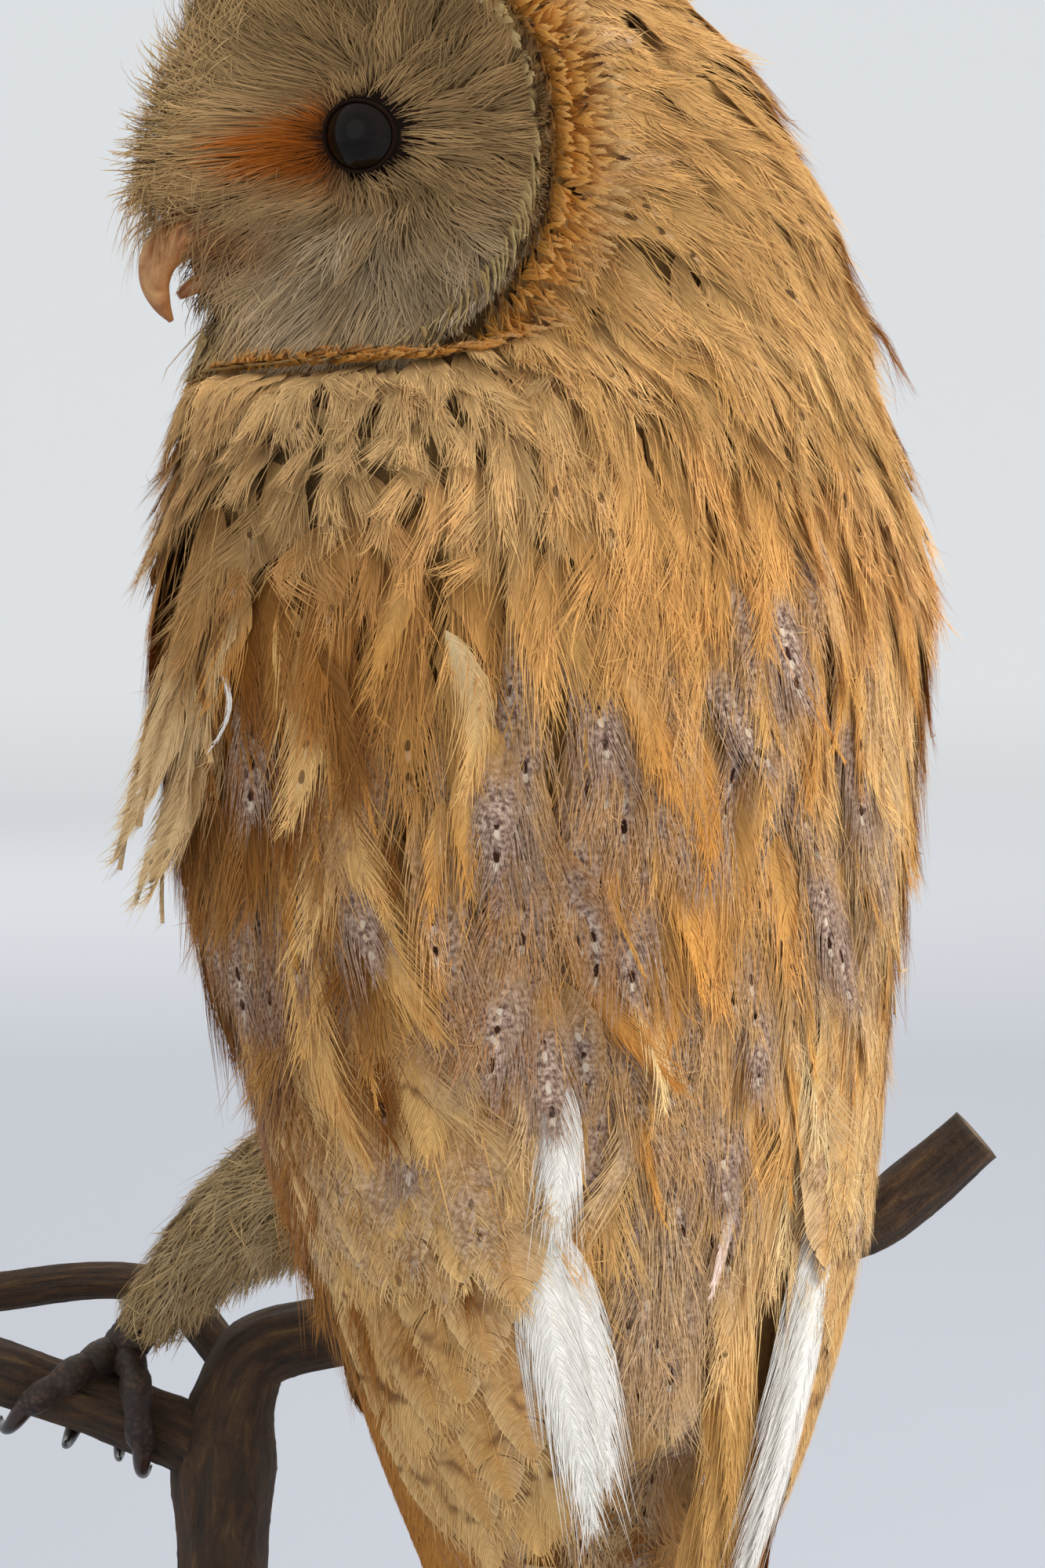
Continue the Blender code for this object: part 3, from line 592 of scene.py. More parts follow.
FLESH = ["head", "neck", "trunk", "wing_left", "wing_right", "tail", "leg_left", "leg_right"]
co, no, tris, polys = remeshed([cropped(["head"]), cropped(["neck"]), cropped(["trunk"]), cropped(["wing_left"], 158.0),
                                cropped(["wing_right"], 158.0), cropped(["tail"], 128.0), cropped(["leg_left"]),
                                cropped(["leg_right"])], 0.7, 2.0, 3)
coat = Surface(co - no * 0.7, no, tris)
bco, bno, btris, _ = remeshed([cropped(["head"]), cropped(["neck"]), cropped(["trunk"]), cropped(["wing_left"], 158.0),
                               cropped(["wing_right"], 158.0), cropped(["tail"], 128.0)], 0.7, 2.0, 6)
body_coat = Surface(bco - bno * 0.7, bno, btris)
print("surfaces", round(time.time() - STARTED, 1), len(co))


# ------------------------------------------------------------------ where is what, and which way feathers lie
def body_angle(p):
    """Angle round the body from the middle of the back, degrees, positive to the bird's left."""
    s = eased(BODY, p[..., 2])
    return np.degrees(np.arctan2((p[..., 0] - s[..., 0]) / s[..., 2], (p[..., 1] - s[..., 1]) / s[..., 3]))


def face_measure(p):
    """Negative behind the ruff's plane, positive in front; and how far out from the face's axis, 1 at the ruff."""
    f, l, u = head_coords(p)
    turn = np.degrees(np.arctan2(l, u))
    rho = np.hypot(l, u)
    return f - ruff_forward(turn), rho / ruff_radius(turn), turn


def in_head(p):
    f, l, u = head_coords(p)
    return ((f + 18.0) / 47.0) ** 2 + (l / 46.0) ** 2 + ((u - 1.0) / 48.0) ** 2 < 1.0


def flow(p):
    """The lie of the coat: back and down from the ruff on the head, down the body, converging on the tail."""
    f, l, u = head_coords(p)
    away = unit(np.stack([np.zeros_like(f), l, u], -1) + 1e-6)
    head = -1.0 * FACE + 0.62 * (away[..., 1:2] * CHEEK + away[..., 2:3] * UP) * np.exp(-np.maximum(0, -f - 5.0) / 18.0)[..., None]
    head = head + np.array([0, 0, -1.0]) * (np.clip((-f - 22.0) / 30.0, 0, 1.4) + np.clip((-u - 2.0) / 26.0, 0, 1.8))[..., None]
    ang = body_angle(p)
    down = np.zeros(p.shape)
    down[..., 2] = -1.0
    down[..., 0] = -0.10 * np.sign(ang) * np.clip((300 - p[..., 2]) / 120.0, 0, 1) * (np.abs(ang) < 150)
    w = np.clip((p[..., 2] - 326.0) / 22.0, 0, 1)[..., None]
    return unit(unit(head) * w + down * (1 - w))


# ------------------------------------------------------------------ feather maker
class Coat:
    """Collects the meshes of one coat piece."""

    def __init__(self, name):
        self.name = name
        self.v, self.q, self.tint, self.fx, self.mk, self.lk, self.cell, self.uv, self.root = ([] for _ in range(9))
        self.count, self.feathers = 0, 0

    def extend(self, v, q, tint, fx, mk, lk, cell, uv, root):
        self.v.append(v); self.q.append(q + self.count); self.tint.append(tint); self.fx.append(fx)
        self.mk.append(mk); self.lk.append(lk); self.cell.append(cell + self.feathers); self.uv.append(uv); self.root.append(root)
        self.count += len(v)
        self.feathers += len(root)

    def build(self, limit=95000):
        if not self.v:
            return []
        v, q, tint, fx, mk, lk, cell, uv, root = (np.concatenate(x) for x in (self.v, self.q, self.tint, self.fx, self.mk, self.lk,
                                                                             self.cell, self.uv, self.root))
        order = np.argsort(root[:, 2], kind="stable")          # pieces are bands of height
        rank = np.empty(len(order), int)
        per = np.bincount(cell[q[:, 0]], minlength=len(root))
        acc = np.cumsum(per[order])
        pieces = np.minimum((acc - 1) // limit, 99)
        rank[order] = pieces
        made = []
        for k in range(int(pieces.max()) + 1):
            keep = rank[cell[q[:, 0]]] == k
            qq = q[keep]
            used = np.unique(qq)
            remap = np.full(len(v), -1, np.int64)
            remap[used] = np.arange(len(used))
            mine = np.nonzero(rank == k)[0]
            # a patch for each feather near its root's place on the unwrapped skin: rows by height, columns round the body
            n = len(mine)
            rows = max(1, int(math.sqrt(n)))
            cols = int(math.ceil(n / rows))
            by_z = mine[np.argsort(root[mine, 2], kind="stable")]
            at = np.zeros((len(root), 2))
            for r in range(rows):
                line = by_z[r * cols:(r + 1) * cols]
                if len(line) == 0:
                    continue
                line = line[np.argsort(root[line, 0], kind="stable")]
                at[line, 0] = (np.arange(len(line)) + 0.5) / cols
                at[line, 1] = (r + 0.5) / rows
            size = np.array([0.92 / cols, 0.92 / rows])
            c = cell[used]
            uvs = at[c] + (uv[used] - 0.5) * size
            name = self.name if pieces.max() == 0 else f"{self.name}_{k + 1}"
            made.append(mesh_object(name, v[used], remap[qq], None, PLUMAGE,
                                    {"tint": ("FLOAT_COLOR", tint[used]), "fx": ("FLOAT_VECTOR", fx[used]),
                                     "mk": ("FLOAT_VECTOR", mk[used]), "lk": ("FLOAT_VECTOR", lk[used])}, uvs))
        return made


def lay(root, heading, length, steps, surface, droop=None, flow_pull=0.5):
    """Walks each feather's shaft over the surface: points and normals, (F, steps + 1, 3)."""
    p, n = surface.nearest(root)
    d = unit(heading - (heading * n).sum(-1, keepdims=True) * n)
    pts, nrm = [p], [n]
    step = (length / steps)[:, None]
    for _ in range(steps):
        q, n2 = surface.nearest(p + d * step)
        d2 = unit(q - p)
        if flow_pull:
            fl = flow(q)
            fl = unit(fl - (fl * n2).sum(-1, keepdims=True) * n2)
            d2 = unit(d2 + fl * flow_pull * 0.25)
        d2 = unit(d2 - (d2 * n2).sum(-1, keepdims=True) * n2)
        p, d, n = q, d2, n2
        pts.append(p)
        nrm.append(n)
    return np.stack(pts, 1), np.stack(nrm, 1)


def plume(piece, spine, normal, length, width, colour, marks, seeds, rows=9, panels=3, t0=0.15, sweep=0.9, camber=0.2, blunt=2.4, gap=0.9, torn=0.3,
          hair=0.85, hair_w=0.2, over=1.0, rough=0.12, fray=0.35, rachis=0.2, sides=(-1, 1), inner_scale=1.0, hair_steps=3, fluff=0.05, curl=0.0,
          slim=0.8, tip_hair=1.5, hair_from=0.35, point=0.62):
    """Feathers as smooth vanes of a few panels each side of the shaft, with single barbs that lie over them and fray past their edge."""
    F, K1, _ = spine.shape
    K = K1 - 1
    length, width = np.asarray(length, float), np.asarray(width, float)
    seg = np.diff(spine, axis=1)
    fi = np.arange(F)[:, None, None]

    def place(a, b, side, lift):
        u = np.clip(a / length[:, None, None] * K, 0, None)
        idx = np.minimum(u.astype(int), K - 1)
        fr = np.minimum(u - idx, 3.6)
        S = spine[fi, idx] + seg[fi, idx] * fr[..., None]
        T = unit(seg[fi, idx])
        w = np.clip(fr, 0, 1)[..., None]
        N = unit(normal[fi, idx] * (1 - w) + normal[fi, idx + 1] * w)
        B = unit(np.cross(T, N))
        N = np.cross(B, T)
        return S + B * (b * side)[..., None] + N * lift[..., None], T, B, N

    def outline(x):
        return (1 - np.clip(x, 0, 1) ** blunt) ** point * (0.55 + 0.45 * np.clip(x / 0.35, 0, 1))

    def barb_end(a0, w_):
        """Where a barb that leaves the shaft at a0 meets the vane's outline: place along, and across over the vane's width."""
        L_ = length[:, None, None]
        lo, hi = a0 + 0.0, np.broadcast_to(L_, a0.shape) + 0.0
        for _ in range(13):
            mid_ = (lo + hi) / 2
            far = mid_ - a0 - sweep * w_ * outline(mid_ / L_) > 0
            lo, hi = np.where(far, lo, mid_), np.where(far, mid_, hi)
        return lo, outline(lo / L_)

    first = True
    for side in sides:
        w_side = (width if side > 0 else width * inner_scale)[:, None, None]
        # vane panels
        cuts = np.linspace(0, rows, panels + 1).round().astype(int)
        index, panel = [], []
        for p in range(panels):
            index += list(range(cuts[p], cuts[p + 1] + 1))
            panel += [p] * (cuts[p + 1] - cuts[p] + 1)
        index, panel = np.array(index), np.array(panel)
        sI = index / rows
        ti = (t0 + (1 - t0) * (1 - (1 - sI) ** 1.6))[None, :, None] * np.ones((F, 1, 1))
        q = np.array([0.0, 0.4, 0.75, 1.0])[None, None, :]
        rowj = rng.normal(0, fluff, (F, rows + 1))[:, index][..., None]
        a0 = ti * length[:, None, None]
        ae, g = barb_end(a0, w_side)
        b1 = w_side * slim * g * (1 + rowj)
        c = (ae - a0) * (0.5 + 0.5 * slim)
        split = np.where(rng.rand(F, panels + 1) < torn, rng.uniform(0.3, 1.0, (F, panels + 1)) * gap, 0.0)
        ends = np.zeros((F, len(index)))
        for k in range(len(index)):
            if k and panel[k] != panel[k - 1]:
                ends[:, k] = split[:, panel[k]]
            if k + 1 < len(index) and panel[k] != panel[k + 1]:
                ends[:, k] = -split[:, panel[k + 1]]
        lift_p = rng.normal(0, 0.25 + rough, (F, panels))[:, panel][..., None]
        a = a0 + c * (0.5 * q + 0.5 * q**2) + ends[..., None] * q**2 * np.clip(g * 1.5, 0, 1)
        b = b1 * (1.25 * q - 0.25 * q**2)
        h = -camber * w_side * (b / w_side) ** 2 + lift_p * rough * w_side * 0.35 * q**2 + curl * w_side * q**2 * ti
        V, T, B, N = place(a, b, side, h)
        R, Q = len(index), 4
        d = length[:, None, None] - a
        seed = np.broadcast_to(seeds[:, None, None], b.shape)
        t_ = a / length[:, None, None]
        qb = np.broadcast_to(q, b.shape)
        col = colour(t_, b * side, d, qb, seed, np.full((F, 1, 1), 0.45))
        mk = marks(t_, b * side, d, qb, seed)
        lk = np.stack([np.broadcast_to(ti * length[:, None, None], b.shape) + side * 50.0, qb * (b1 + c), seed], -1)
        step = [k for k in range(R - 1) if panel[k] == panel[k + 1]]
        quad = []
        for k in step:
            for m in range(Q - 1):
                quad.append((k * Q + m, k * Q + m + 1, (k + 1) * Q + m + 1, (k + 1) * Q + m))
        quad = ((np.arange(F) * R * Q)[:, None, None] + np.array(quad)[None]).reshape(-1, 4)
        if side < 0:
            quad = quad[:, ::-1]
        wmax = np.maximum(width, width * inner_scale)[:, None, None] * 1.35
        uv = np.clip(np.stack([0.5 + 0.5 * b * side / wmax, a / (length[:, None, None] * 1.12)], -1), 0, 1)
        piece.extend(V.reshape(-1, 3), quad, col.reshape(-1, 3), np.stack([b * side, d, seed], -1).reshape(-1, 3), mk.reshape(-1, 3), lk.reshape(-1, 3),
                     np.repeat(np.arange(F), R * Q) - (0 if first else F), uv.reshape(-1, 2), _keys(spine) if first else np.zeros((0, 3)))
        first = False
        # single barbs over the vane, past its edge
        if not hair:
            continue
        n = max(4, int(float(np.mean(length)) * (1 - t0) / hair))
        i = np.arange(n)
        s = (i[None, :] + rng.uniform(0, 1, (F, n))) / n
        tj = (t0 + (1 - t0) * (1 - (1 - s) ** tip_hair))[..., None]
        a0 = tj * length[:, None, None]
        ae, g = barb_end(a0, w_side)
        q0 = rng.uniform(hair_from - 0.2, hair_from + 0.3, (F, n, 1))
        q1 = 1.0 + (np.abs(rng.normal(0, fray, (F, n, 1))) + 0.10) * over
        q = q0 + (q1 - q0) * np.linspace(0, 1, hair_steps)[None, None, :]
        b1 = w_side * slim * g * (1 + rng.normal(0, fluff, (F, n, 1)))
        c = (ae - a0) * (0.5 + 0.5 * slim) + (1 - g) * 0.22 * w_side
        kink = rng.normal(0, 0.14, (F, n, 1)) * w_side
        a = a0 + c * (0.5 * q + 0.5 * q**2) + kink * q**2 * 0.6
        b = b1 * (1.25 * q - 0.25 * q**2) + kink * q**2 * 0.5 * (1 - g)
        w_ref = w_side
        h = -camber * w_ref * (b / w_ref) ** 2 + 0.10 + rng.uniform(0, 1, (F, n, 1)) ** 2 * rough * w_ref * np.clip(q - 0.5, 0, 2) * 0.9 + curl * w_side * q**2 * tj
        C, T, B, N = place(a, b, side, h)
        Wd = unit(np.gradient(C, axis=2))
        W = unit(np.cross(Wd, N))
        taper = np.array([0.7, 1.0, 0.12])[None, None, :] if hair_steps == 3 else np.interp(np.linspace(0, 1, hair_steps), [0, .5, 1], [0.7, 1, .12])[None, None, :]
        half = 0.5 * hair_w * rng.uniform(0.7, 1.4, (F, n, 1)) * taper
        V = np.stack([C - W * half[..., None], C + W * half[..., None]], 3)
        Q = hair_steps
        d = length[:, None, None] - a
        seed = np.broadcast_to(seeds[:, None, None], b.shape)
        t_ = a / length[:, None, None]
        qb = np.broadcast_to(q, b.shape)
        ls = rng.uniform(0, 1, (F, n, 1))
        col = colour(t_, b * side, d, qb, seed, 0.25 + 0.75 * ls)
        mk = marks(t_, b * side, d, qb, seed)
        base = (np.arange(F * n) * Q * 2)[:, None]
        quad = np.concatenate([base + np.array([2 * k, 2 * k + 1, 2 * k + 3, 2 * k + 2])[None, :] for k in range(Q - 1)], 0)
        if side < 0:
            quad = quad[:, ::-1]
        two = lambda x: np.stack([x] * 2, 3).reshape(-1, 3)
        uv = np.clip(np.stack([0.5 + 0.5 * b * side / wmax, a / (length[:, None, None] * 1.12)], -1), 0.0, 1.0)
        off = np.array([-0.004, 0.004])
        uv2 = np.stack([np.stack([uv[..., 0] + o, uv[..., 1]], -1) for o in off], 3).reshape(-1, 2)
        lkv = two(np.stack([np.broadcast_to(ls * 5.0, b.shape), q * (b1 + c), np.broadcast_to(ls, b.shape)], -1))
        piece.extend(V.reshape(-1, 3), quad, two(col), two(np.stack([b * side, d, seed], -1)), two(mk), lkv, np.repeat(np.arange(F), n * Q * 2) - F, uv2,
                     np.zeros((0, 3)))
    if rachis:
        s = np.linspace(t0 * 0.5, 0.9, K1)
        u = s * K
        idx = np.minimum(u.astype(int), K - 1)
        fr = (u - idx)[None, :, None]
        S = spine[:, idx] * (1 - fr) + spine[:, idx + 1] * fr
        T = unit(seg[:, idx])
        N = unit(normal[:, idx] * (1 - fr) + normal[:, idx + 1] * fr)
        B = unit(np.cross(T, N))
        half = (rachis * np.linspace(0.5, 0.16, K1))[None, :, None]
        S = S + N * (0.10 + rachis * 0.25)
        V = np.stack([S - B * half, S + B * half], 2).reshape(-1, 3)
        base = (np.arange(F) * K1 * 2)[:, None]
        quad = np.concatenate([base + np.array([2 * j, 2 * j + 1, 2 * j + 3, 2 * j + 2])[None, :] for j in range(K)], 0)
        tt = np.broadcast_to(s[None, :], (F, K1))
        zero = np.zeros((F, K1))
        dd = length[:, None] * (1 - tt)
        seed = np.broadcast_to(seeds[:, None], (F, K1))
        col = colour(tt[:, None], zero[:, None], dd[:, None], zero[:, None], seed[:, None], np.full((F, 1, K1), 0.6))[:, 0]
        mk = marks(tt[:, None], zero[:, None], dd[:, None], zero[:, None], seed[:, None])[:, 0]
        col = np.minimum(col * 1.2 + 0.02, 0.9)
        rep = lambda x: np.repeat(x.reshape(-1, x.shape[-1]), 2, 0)
        uvx = np.where(np.arange(2)[None, None, :] == 0, 0.485, 0.515) + zero[..., None]
        uvy = np.broadcast_to((tt / 1.12)[..., None], uvx.shape)
        piece.extend(V, quad, rep(col), rep(np.stack([zero, dd, seed], -1)), rep(mk), rep(np.stack([zero + 0.05, dd * 0.2, seed], -1)),
                     np.repeat(np.arange(F), K1 * 2) - F, np.stack([uvx, uvy], -1).reshape(-1, 2), np.zeros((0, 3)))


def _keys(spine):
    """A feather's place on the unwrapped skin: angle round the body and height."""
    p = spine[:, 0]
    s = eased(BODY, p[:, 2])
    ang = np.arctan2(p[:, 0] - s[:, 0], p[:, 1] - s[:, 1])
    return np.stack([ang, np.zeros(len(p)), p[:, 2]], -1)


def hairs(coat_piece, root, path, width, colour, seeds, uv_span=1.0):
    """Thin tapered filaments. path (H, Q, 3) points, across chosen square to the path and to the local normal."""
    H, Q, _ = path.shape
    T = unit(np.gradient(path, axis=1))
    side = unit(rng.normal(0, 1, (H, 1, 3)) * 0.2 + root)
    W = unit(np.cross(T, np.broadcast_to(side, T.shape)))
    taper = np.interp(np.linspace(0, 1, Q), [0, 0.3, 0.75, 1], [0.8, 1.0, 0.7, 0.1])
    half = 0.5 * width[:, None] * taper[None, :]
    V = np.stack([path - W * half[..., None], path + W * half[..., None]], 2).reshape(-1, 3)
    base = (np.arange(H) * Q * 2)[:, None]
    quad = np.concatenate([base + np.array([2 * j, 2 * j + 1, 2 * j + 3, 2 * j + 2])[None, :] for j in range(Q - 1)], 0)
    q = np.broadcast_to(np.linspace(0, 1, Q)[None, :], (H, Q))
    rep = lambda x: np.repeat(x.reshape(-1, x.shape[-1]), 2, 0)
    zero = np.zeros((H, Q))
    uvx = np.where(np.arange(2)[None, None, :] == 0, 0.0, 1.0) + zero[..., None]
    uvy = np.broadcast_to(q[..., None], uvx.shape)
    coat_piece.extend(V, quad, rep(colour), rep(np.stack([zero + 9.0, zero + 40.0, seeds[:, None] + zero], -1)),
                      np.zeros((H * Q * 2, 3)), rep(np.stack([zero, q * 4.0, seeds[:, None] + zero], -1)),
                      np.repeat(np.arange(H), Q * 2), np.stack([uvx, uvy], -1).reshape(-1, 2), _keys(path))


def spread(surface, count, keep, spacing, seed):
    """Points spread over a surface, no two closer than the spacing at their place."""
    r = np.random.RandomState(seed)
    a, b, c = (surface.co[surface.tris[:, k]] for k in range(3))
    area = 0.5 * np.linalg.norm(np.cross(b - a, c - a), axis=1)
    pick = r.choice(len(area), count, p=area / area.sum())
    u, v = r.rand(count, 1), r.rand(count, 1)
    flip = (u + v) > 1
    u, v = np.where(flip, 1 - u, u), np.where(flip, 1 - v, v)
    p = a[pick] + (b[pick] - a[pick]) * u + (c[pick] - a[pick]) * v
    p = p[keep(p)]
    gap = spacing(p)
    cell = float(gap.min()) if len(gap) else 1.0
    grid, out = {}, []
    reach = int(math.ceil(float(gap.max()) / cell)) if len(gap) else 1
    keys = np.floor(p / cell).astype(int)
    for i in range(len(p)):
        k = tuple(keys[i])
        g = gap[i]
        rr = min(reach, int(math.ceil(g / cell)))
        clash = False
        for x in range(k[0] - rr, k[0] + rr + 1):
            for y in range(k[1] - rr, k[1] + rr + 1):
                for z in range(k[2] - rr, k[2] + rr + 1):
                    for j in grid.get((x, y, z), ()):
                        dx = p[i] - p[j]
                        if dx[0] * dx[0] + dx[1] * dx[1] + dx[2] * dx[2] < g * g:
                            clash = True
                            break
                    if clash:
                        break
                if clash:
                    break
            if clash:
                break
        if not clash:
            grid.setdefault(k, []).append(i)
            out.append(i)
    return p[out]


# ------------------------------------------------------------------ painters: colour and marks from each feather's own numbers
CREAM, GOLD, ORANGE = lin(221, 184, 126), lin(206, 158, 90), lin(198, 134, 62)
BROWN, GREYLILAC, WHITE = lin(112, 74, 44), lin(166, 136, 114), lin(238, 234, 226)
PALE, RUST, DARK = lin(222, 194, 146), lin(176, 94, 22), lin(64, 40, 26)


def smooth(x, a, b):
    u = np.clip((x - a) / (b - a), 0, 1)
    return u * u * (3 - 2 * u)


def lerp(a, b, w):
    w = np.asarray(w)[..., None]
    return a * (1 - w) + b * w


def wave(p, scale, phase):
    """Smooth wandering field from a few crossed waves, about -1 to 1."""
    x, y, z = p[..., 0] / scale, p[..., 1] / scale, p[..., 2] / scale
    return (np.sin(1.7 * x + 2.1 * z + phase) + np.sin(2.3 * y - 1.9 * z + 2.1 * phase) + np.sin(1.3 * x - 2.9 * y + 0.7 * phase + z)) / 2.4


def painter(base, tip, edge=None, centre=None, vary=0.30, low=0.25, high=0.85):
    """Colour closure: base to tip along the feather, towards edge colour at the barbs' ends, centre stripe by the shaft."""
    base, tip = base[:, None, None, :], tip[:, None, None, :]
    edge = tip if edge is None else edge[:, None, None, :]

    def colour(t, b, d, q, seed, ls):
        w = smooth(t, low, high)[..., None]
        c = base * (1 - w) + tip * w
        e = (np.clip(q, 0, 1) ** 1.5)[..., None] * 0.6
        c = c * (1 - e) + edge * e
        if centre is not None:
            s = (np.exp(-(b / 1.1) ** 2) * centre[:, None, None])[..., None]
            c = c * (1 - s) + BROWN * s
        return c * (1 - vary / 2 + vary * ls)[..., None]
    return colour


def marker(grey, spots, bars, g0=0.25, g1=0.55):
    def marks(t, b, d, q, seed):
        one = np.ones(np.broadcast(t, b).shape)
        side = 1 - 0.55 * np.clip(q, 0, 1) ** 3
        return np.stack([grey[:, None, None] * smooth(t, g0, g1) * side, spots[:, None, None] * one, bars[:, None, None] * one], -1)
    return marks


# grey vermiculated patches of the mantle: angle, height, reach in degrees, reach in mm, amount
PATCHES = ((19, 277, 8, 11, 1.0), (27, 261, 8, 11, 1.0), (30, 237, 13, 10, 1.0), (25, 218, 12, 9, 1.0), (3, 213, 9, 11, 0.9),
           (2, 190, 10, 12, 0.8), (-14, 286, 5, 10, 0.8), (-41, 266, 8, 13, 0.9), (-27, 252, 9, 13, 0.9), (6, 262, 6, 10, 0.8),
           (-7, 279, 7, 11, 0.8), (-24, 300, 6, 7, 0.6), (0, 302, 5, 9, 0.35), (70, 243, 8, 9, 0.9), (54, 270, 5, 9, 0.5), (-48, 228, 9, 10, 0.6),
           (-66, 262, 9, 12, 0.8), (-86, 244, 9, 13, 0.8), (-72, 222, 10, 10, 0.8), (-98, 270, 8, 10, 0.6), (-12, 232, 6, 9, 0.6),
           (0, 160, 12, 16, 0.6), (4, 138, 12, 11, 0.6), (92, 226, 8, 10, 0.5), (-30, 214, 7, 9, 0.4))


def grey_at(p):
    a, z = body_angle(p), p[..., 2]
    g = np.zeros(z.shape)
    for pa, pz, ra, rz, amount in PATCHES:
        d = ((a - pa) / (ra * 1.42)) ** 2 + ((z - pz) / (rz * 1.3)) ** 2
        g = np.maximum(g, min(1.0, amount * 1.3) * smooth(-d, -1.35, -0.8))
    return g


def plumage_at(p):
    """Ground colour of the plumage by place, with painted light on the bird's right side and painted shade on its left.
    """
    z, a = p[..., 2], body_angle(p)
    n1, n2 = wave(p, 21.0, 0.4), wave(p, 9.0, 2.2)
    c = lerp(np.broadcast_to(GOLD, p.shape), ORANGE, np.clip(0.22 + 0.45 * n1 + 0.25 * n2, 0, 1))
    # paler buff over the bird's right side (negative angles): painted light on that side
    c = lerp(c, lin(216, 172, 114), smooth(-a, 8.0, 50.0) * np.clip(0.45 + 0.3 * n2, 0, 1))
    c = lerp(c, lin(228, 196, 148), bump(a, -45.0, 26.0) * bump(z, 212.0, 26.0) * 0.8)
    # deep dark orange over the bird's left side (positive angles), below the nape: painted shade on that side
    left = smooth(a, 20.0, 60.0) * smooth(-z, -334.0, -294.0)
    c = lerp(c, lin(134, 80, 20), left * np.clip(0.78 + 0.28 * n2, 0, 1))
    c = lerp(c, lin(240, 208, 158), bump(a, -40.0, 28.0) * bump(z, 216.0, 36.0) * 0.75)
    c = lerp(c, lin(230, 194, 140), bump(a, -6.0, 40.0) * smooth(-z, -222.0, -190.0) * 0.6)
    c = lerp(c, lin(228, 188, 130), bump(a, -46.0, 34.0) * bump(z, 262.0, 60.0) * 0.6)
    up = smooth(z - (320.0 + 13.0 * n1 + 8.0 * n2 - 16.0 * bump(a, 20.0, 24.0)), -17.0, 17.0)
    nape = lerp(np.broadcast_to(lin(172, 130, 72), p.shape), lin(206, 164, 106), np.clip(0.5 + 0.5 * n2, 0, 1))
    c = lerp(c, nape, up * 0.85)
    # the nape darker on the bird's left side (positive angles): painted shade on that side
    c = lerp(c, lerp(np.broadcast_to(lin(136, 99, 54), p.shape), lin(190, 152, 100), np.clip(0.35 + 0.6 * n2, 0, 1)), up * smooth(a, 26.0, 70.0) * 0.8)
    front = smooth(np.abs(a), 104.0, 140.0)
    c = lerp(c, lerp(np.broadcast_to(lin(212, 172, 110), p.shape), CREAM, np.clip(0.5 + 0.5 * n1, 0, 1)), front * (1 - smooth(z, 305, 345)) * 0.9)
    c = lerp(c, lin(214, 186, 136), smooth(-z, -210.0, -165.0) * front)
    f, l, u = head_coords(p)
    hood = smooth(z, 345.0, 362.0) * (f < 30)
    c = lerp(c, lin(190, 146, 86), hood * np.clip(0.65 + 0.35 * n1, 0, 1))
    chin = smooth(-u, 24.0, 36.0) * smooth(f, -30.0, -6.0) * smooth(z, 296.0, 330.0)
    c = lerp(c, lin(196, 164, 114), chin * 0.6)
    return c


def grown(pts, nrm, base, tip, power=0.75, roll=None, wavy=0.0):
    """Lifts a shaft from below the coat's surface at its root to above it at its tip."""
    F, K1, _ = pts.shape
    t = np.linspace(0, 1, K1)[None, :]
    h = -base[:, None] + (base + tip)[:, None] * t ** power
    seg = np.gradient(pts, axis=1)
    B = unit(np.cross(unit(seg), nrm))
    shift = wavy * rng.normal(0, 1, (F, 1)) * np.sin(math.pi * t * rng.uniform(0.6, 1.5, (F, 1)) + rng.uniform(0, 6, (F, 1)))
    out = pts + nrm * h[..., None] + B * (shift - shift[:, :1])[..., None]
    n = nrm if roll is None else unit(nrm + B * np.tan(roll)[:, None, None])
    return out, n


def turned(p, heading, degrees_):
    """Headings swung sideways in the surface."""
    _, n = coat.nearest(p)
    h = unit(heading - (heading * n).sum(-1, keepdims=True) * n)
    s = np.cross(n, h)
    a = np.radians(degrees_)[:, None]
    return unit(h * np.cos(a) + s * np.sin(a))


def contour(piece, roots, length, half, spacing, base, tip, disorder, steps=7, surface=None, heading=None, pull=0.5, grey=None,
            spots=None, bars=None, colour=None, wavy=0.4, roll=9.0, pale_edge=0.5, deep=0.80, light=1.25, **kw):
    surface = surface or coat
    F = len(roots)
    if F == 0:
        return
    heading = flow(roots) if heading is None else heading
    swing = disorder * (0.75 * wave(roots, 17.0, 1.1) + 0.5 * wave(roots, 7.5, 2.0) + rng.normal(0, 0.45, F))
    heading = turned(roots, heading, swing)
    L = length * (1 + rng.normal(0, 0.10, F))
    H = half * (1 + rng.normal(0, 0.10, F))
    pts, nrm = lay(roots, heading, L, steps, surface, flow_pull=pull)
    spine, nn = grown(pts, nrm, np.full(F, base) * 1.0, tip * (1 + rng.normal(0, 0.35, F)), roll=np.radians(rng.normal(0, roll, F)), wavy=wavy)
    mid = pts[:, steps // 2]
    ground = plumage_at(mid) if colour is None else colour(mid)
    ground = ground * (1 + rng.normal(0, 0.07, (F, 1)))
    g = grey_at(pts[:, int(steps * 0.7)]) if grey is None else grey(mid)
    sp = (np.clip(g * 1.3, 0, 1) * (rng.rand(F) < 0.7) + 0.8 * (rng.rand(F) < 0.25)) if spots is None else spots(mid)
    br = np.zeros(F) if bars is None else bars(mid)
    edge = lerp(ground, np.minimum(ground * light + 0.03, 0.9), np.full(F, pale_edge))
    plume(piece, spine, nn, L, H, painter(ground * deep, ground, edge), marker(g, np.clip(sp, 0, 1), br), rng.rand(F), hair=spacing, **kw)


pieces = []

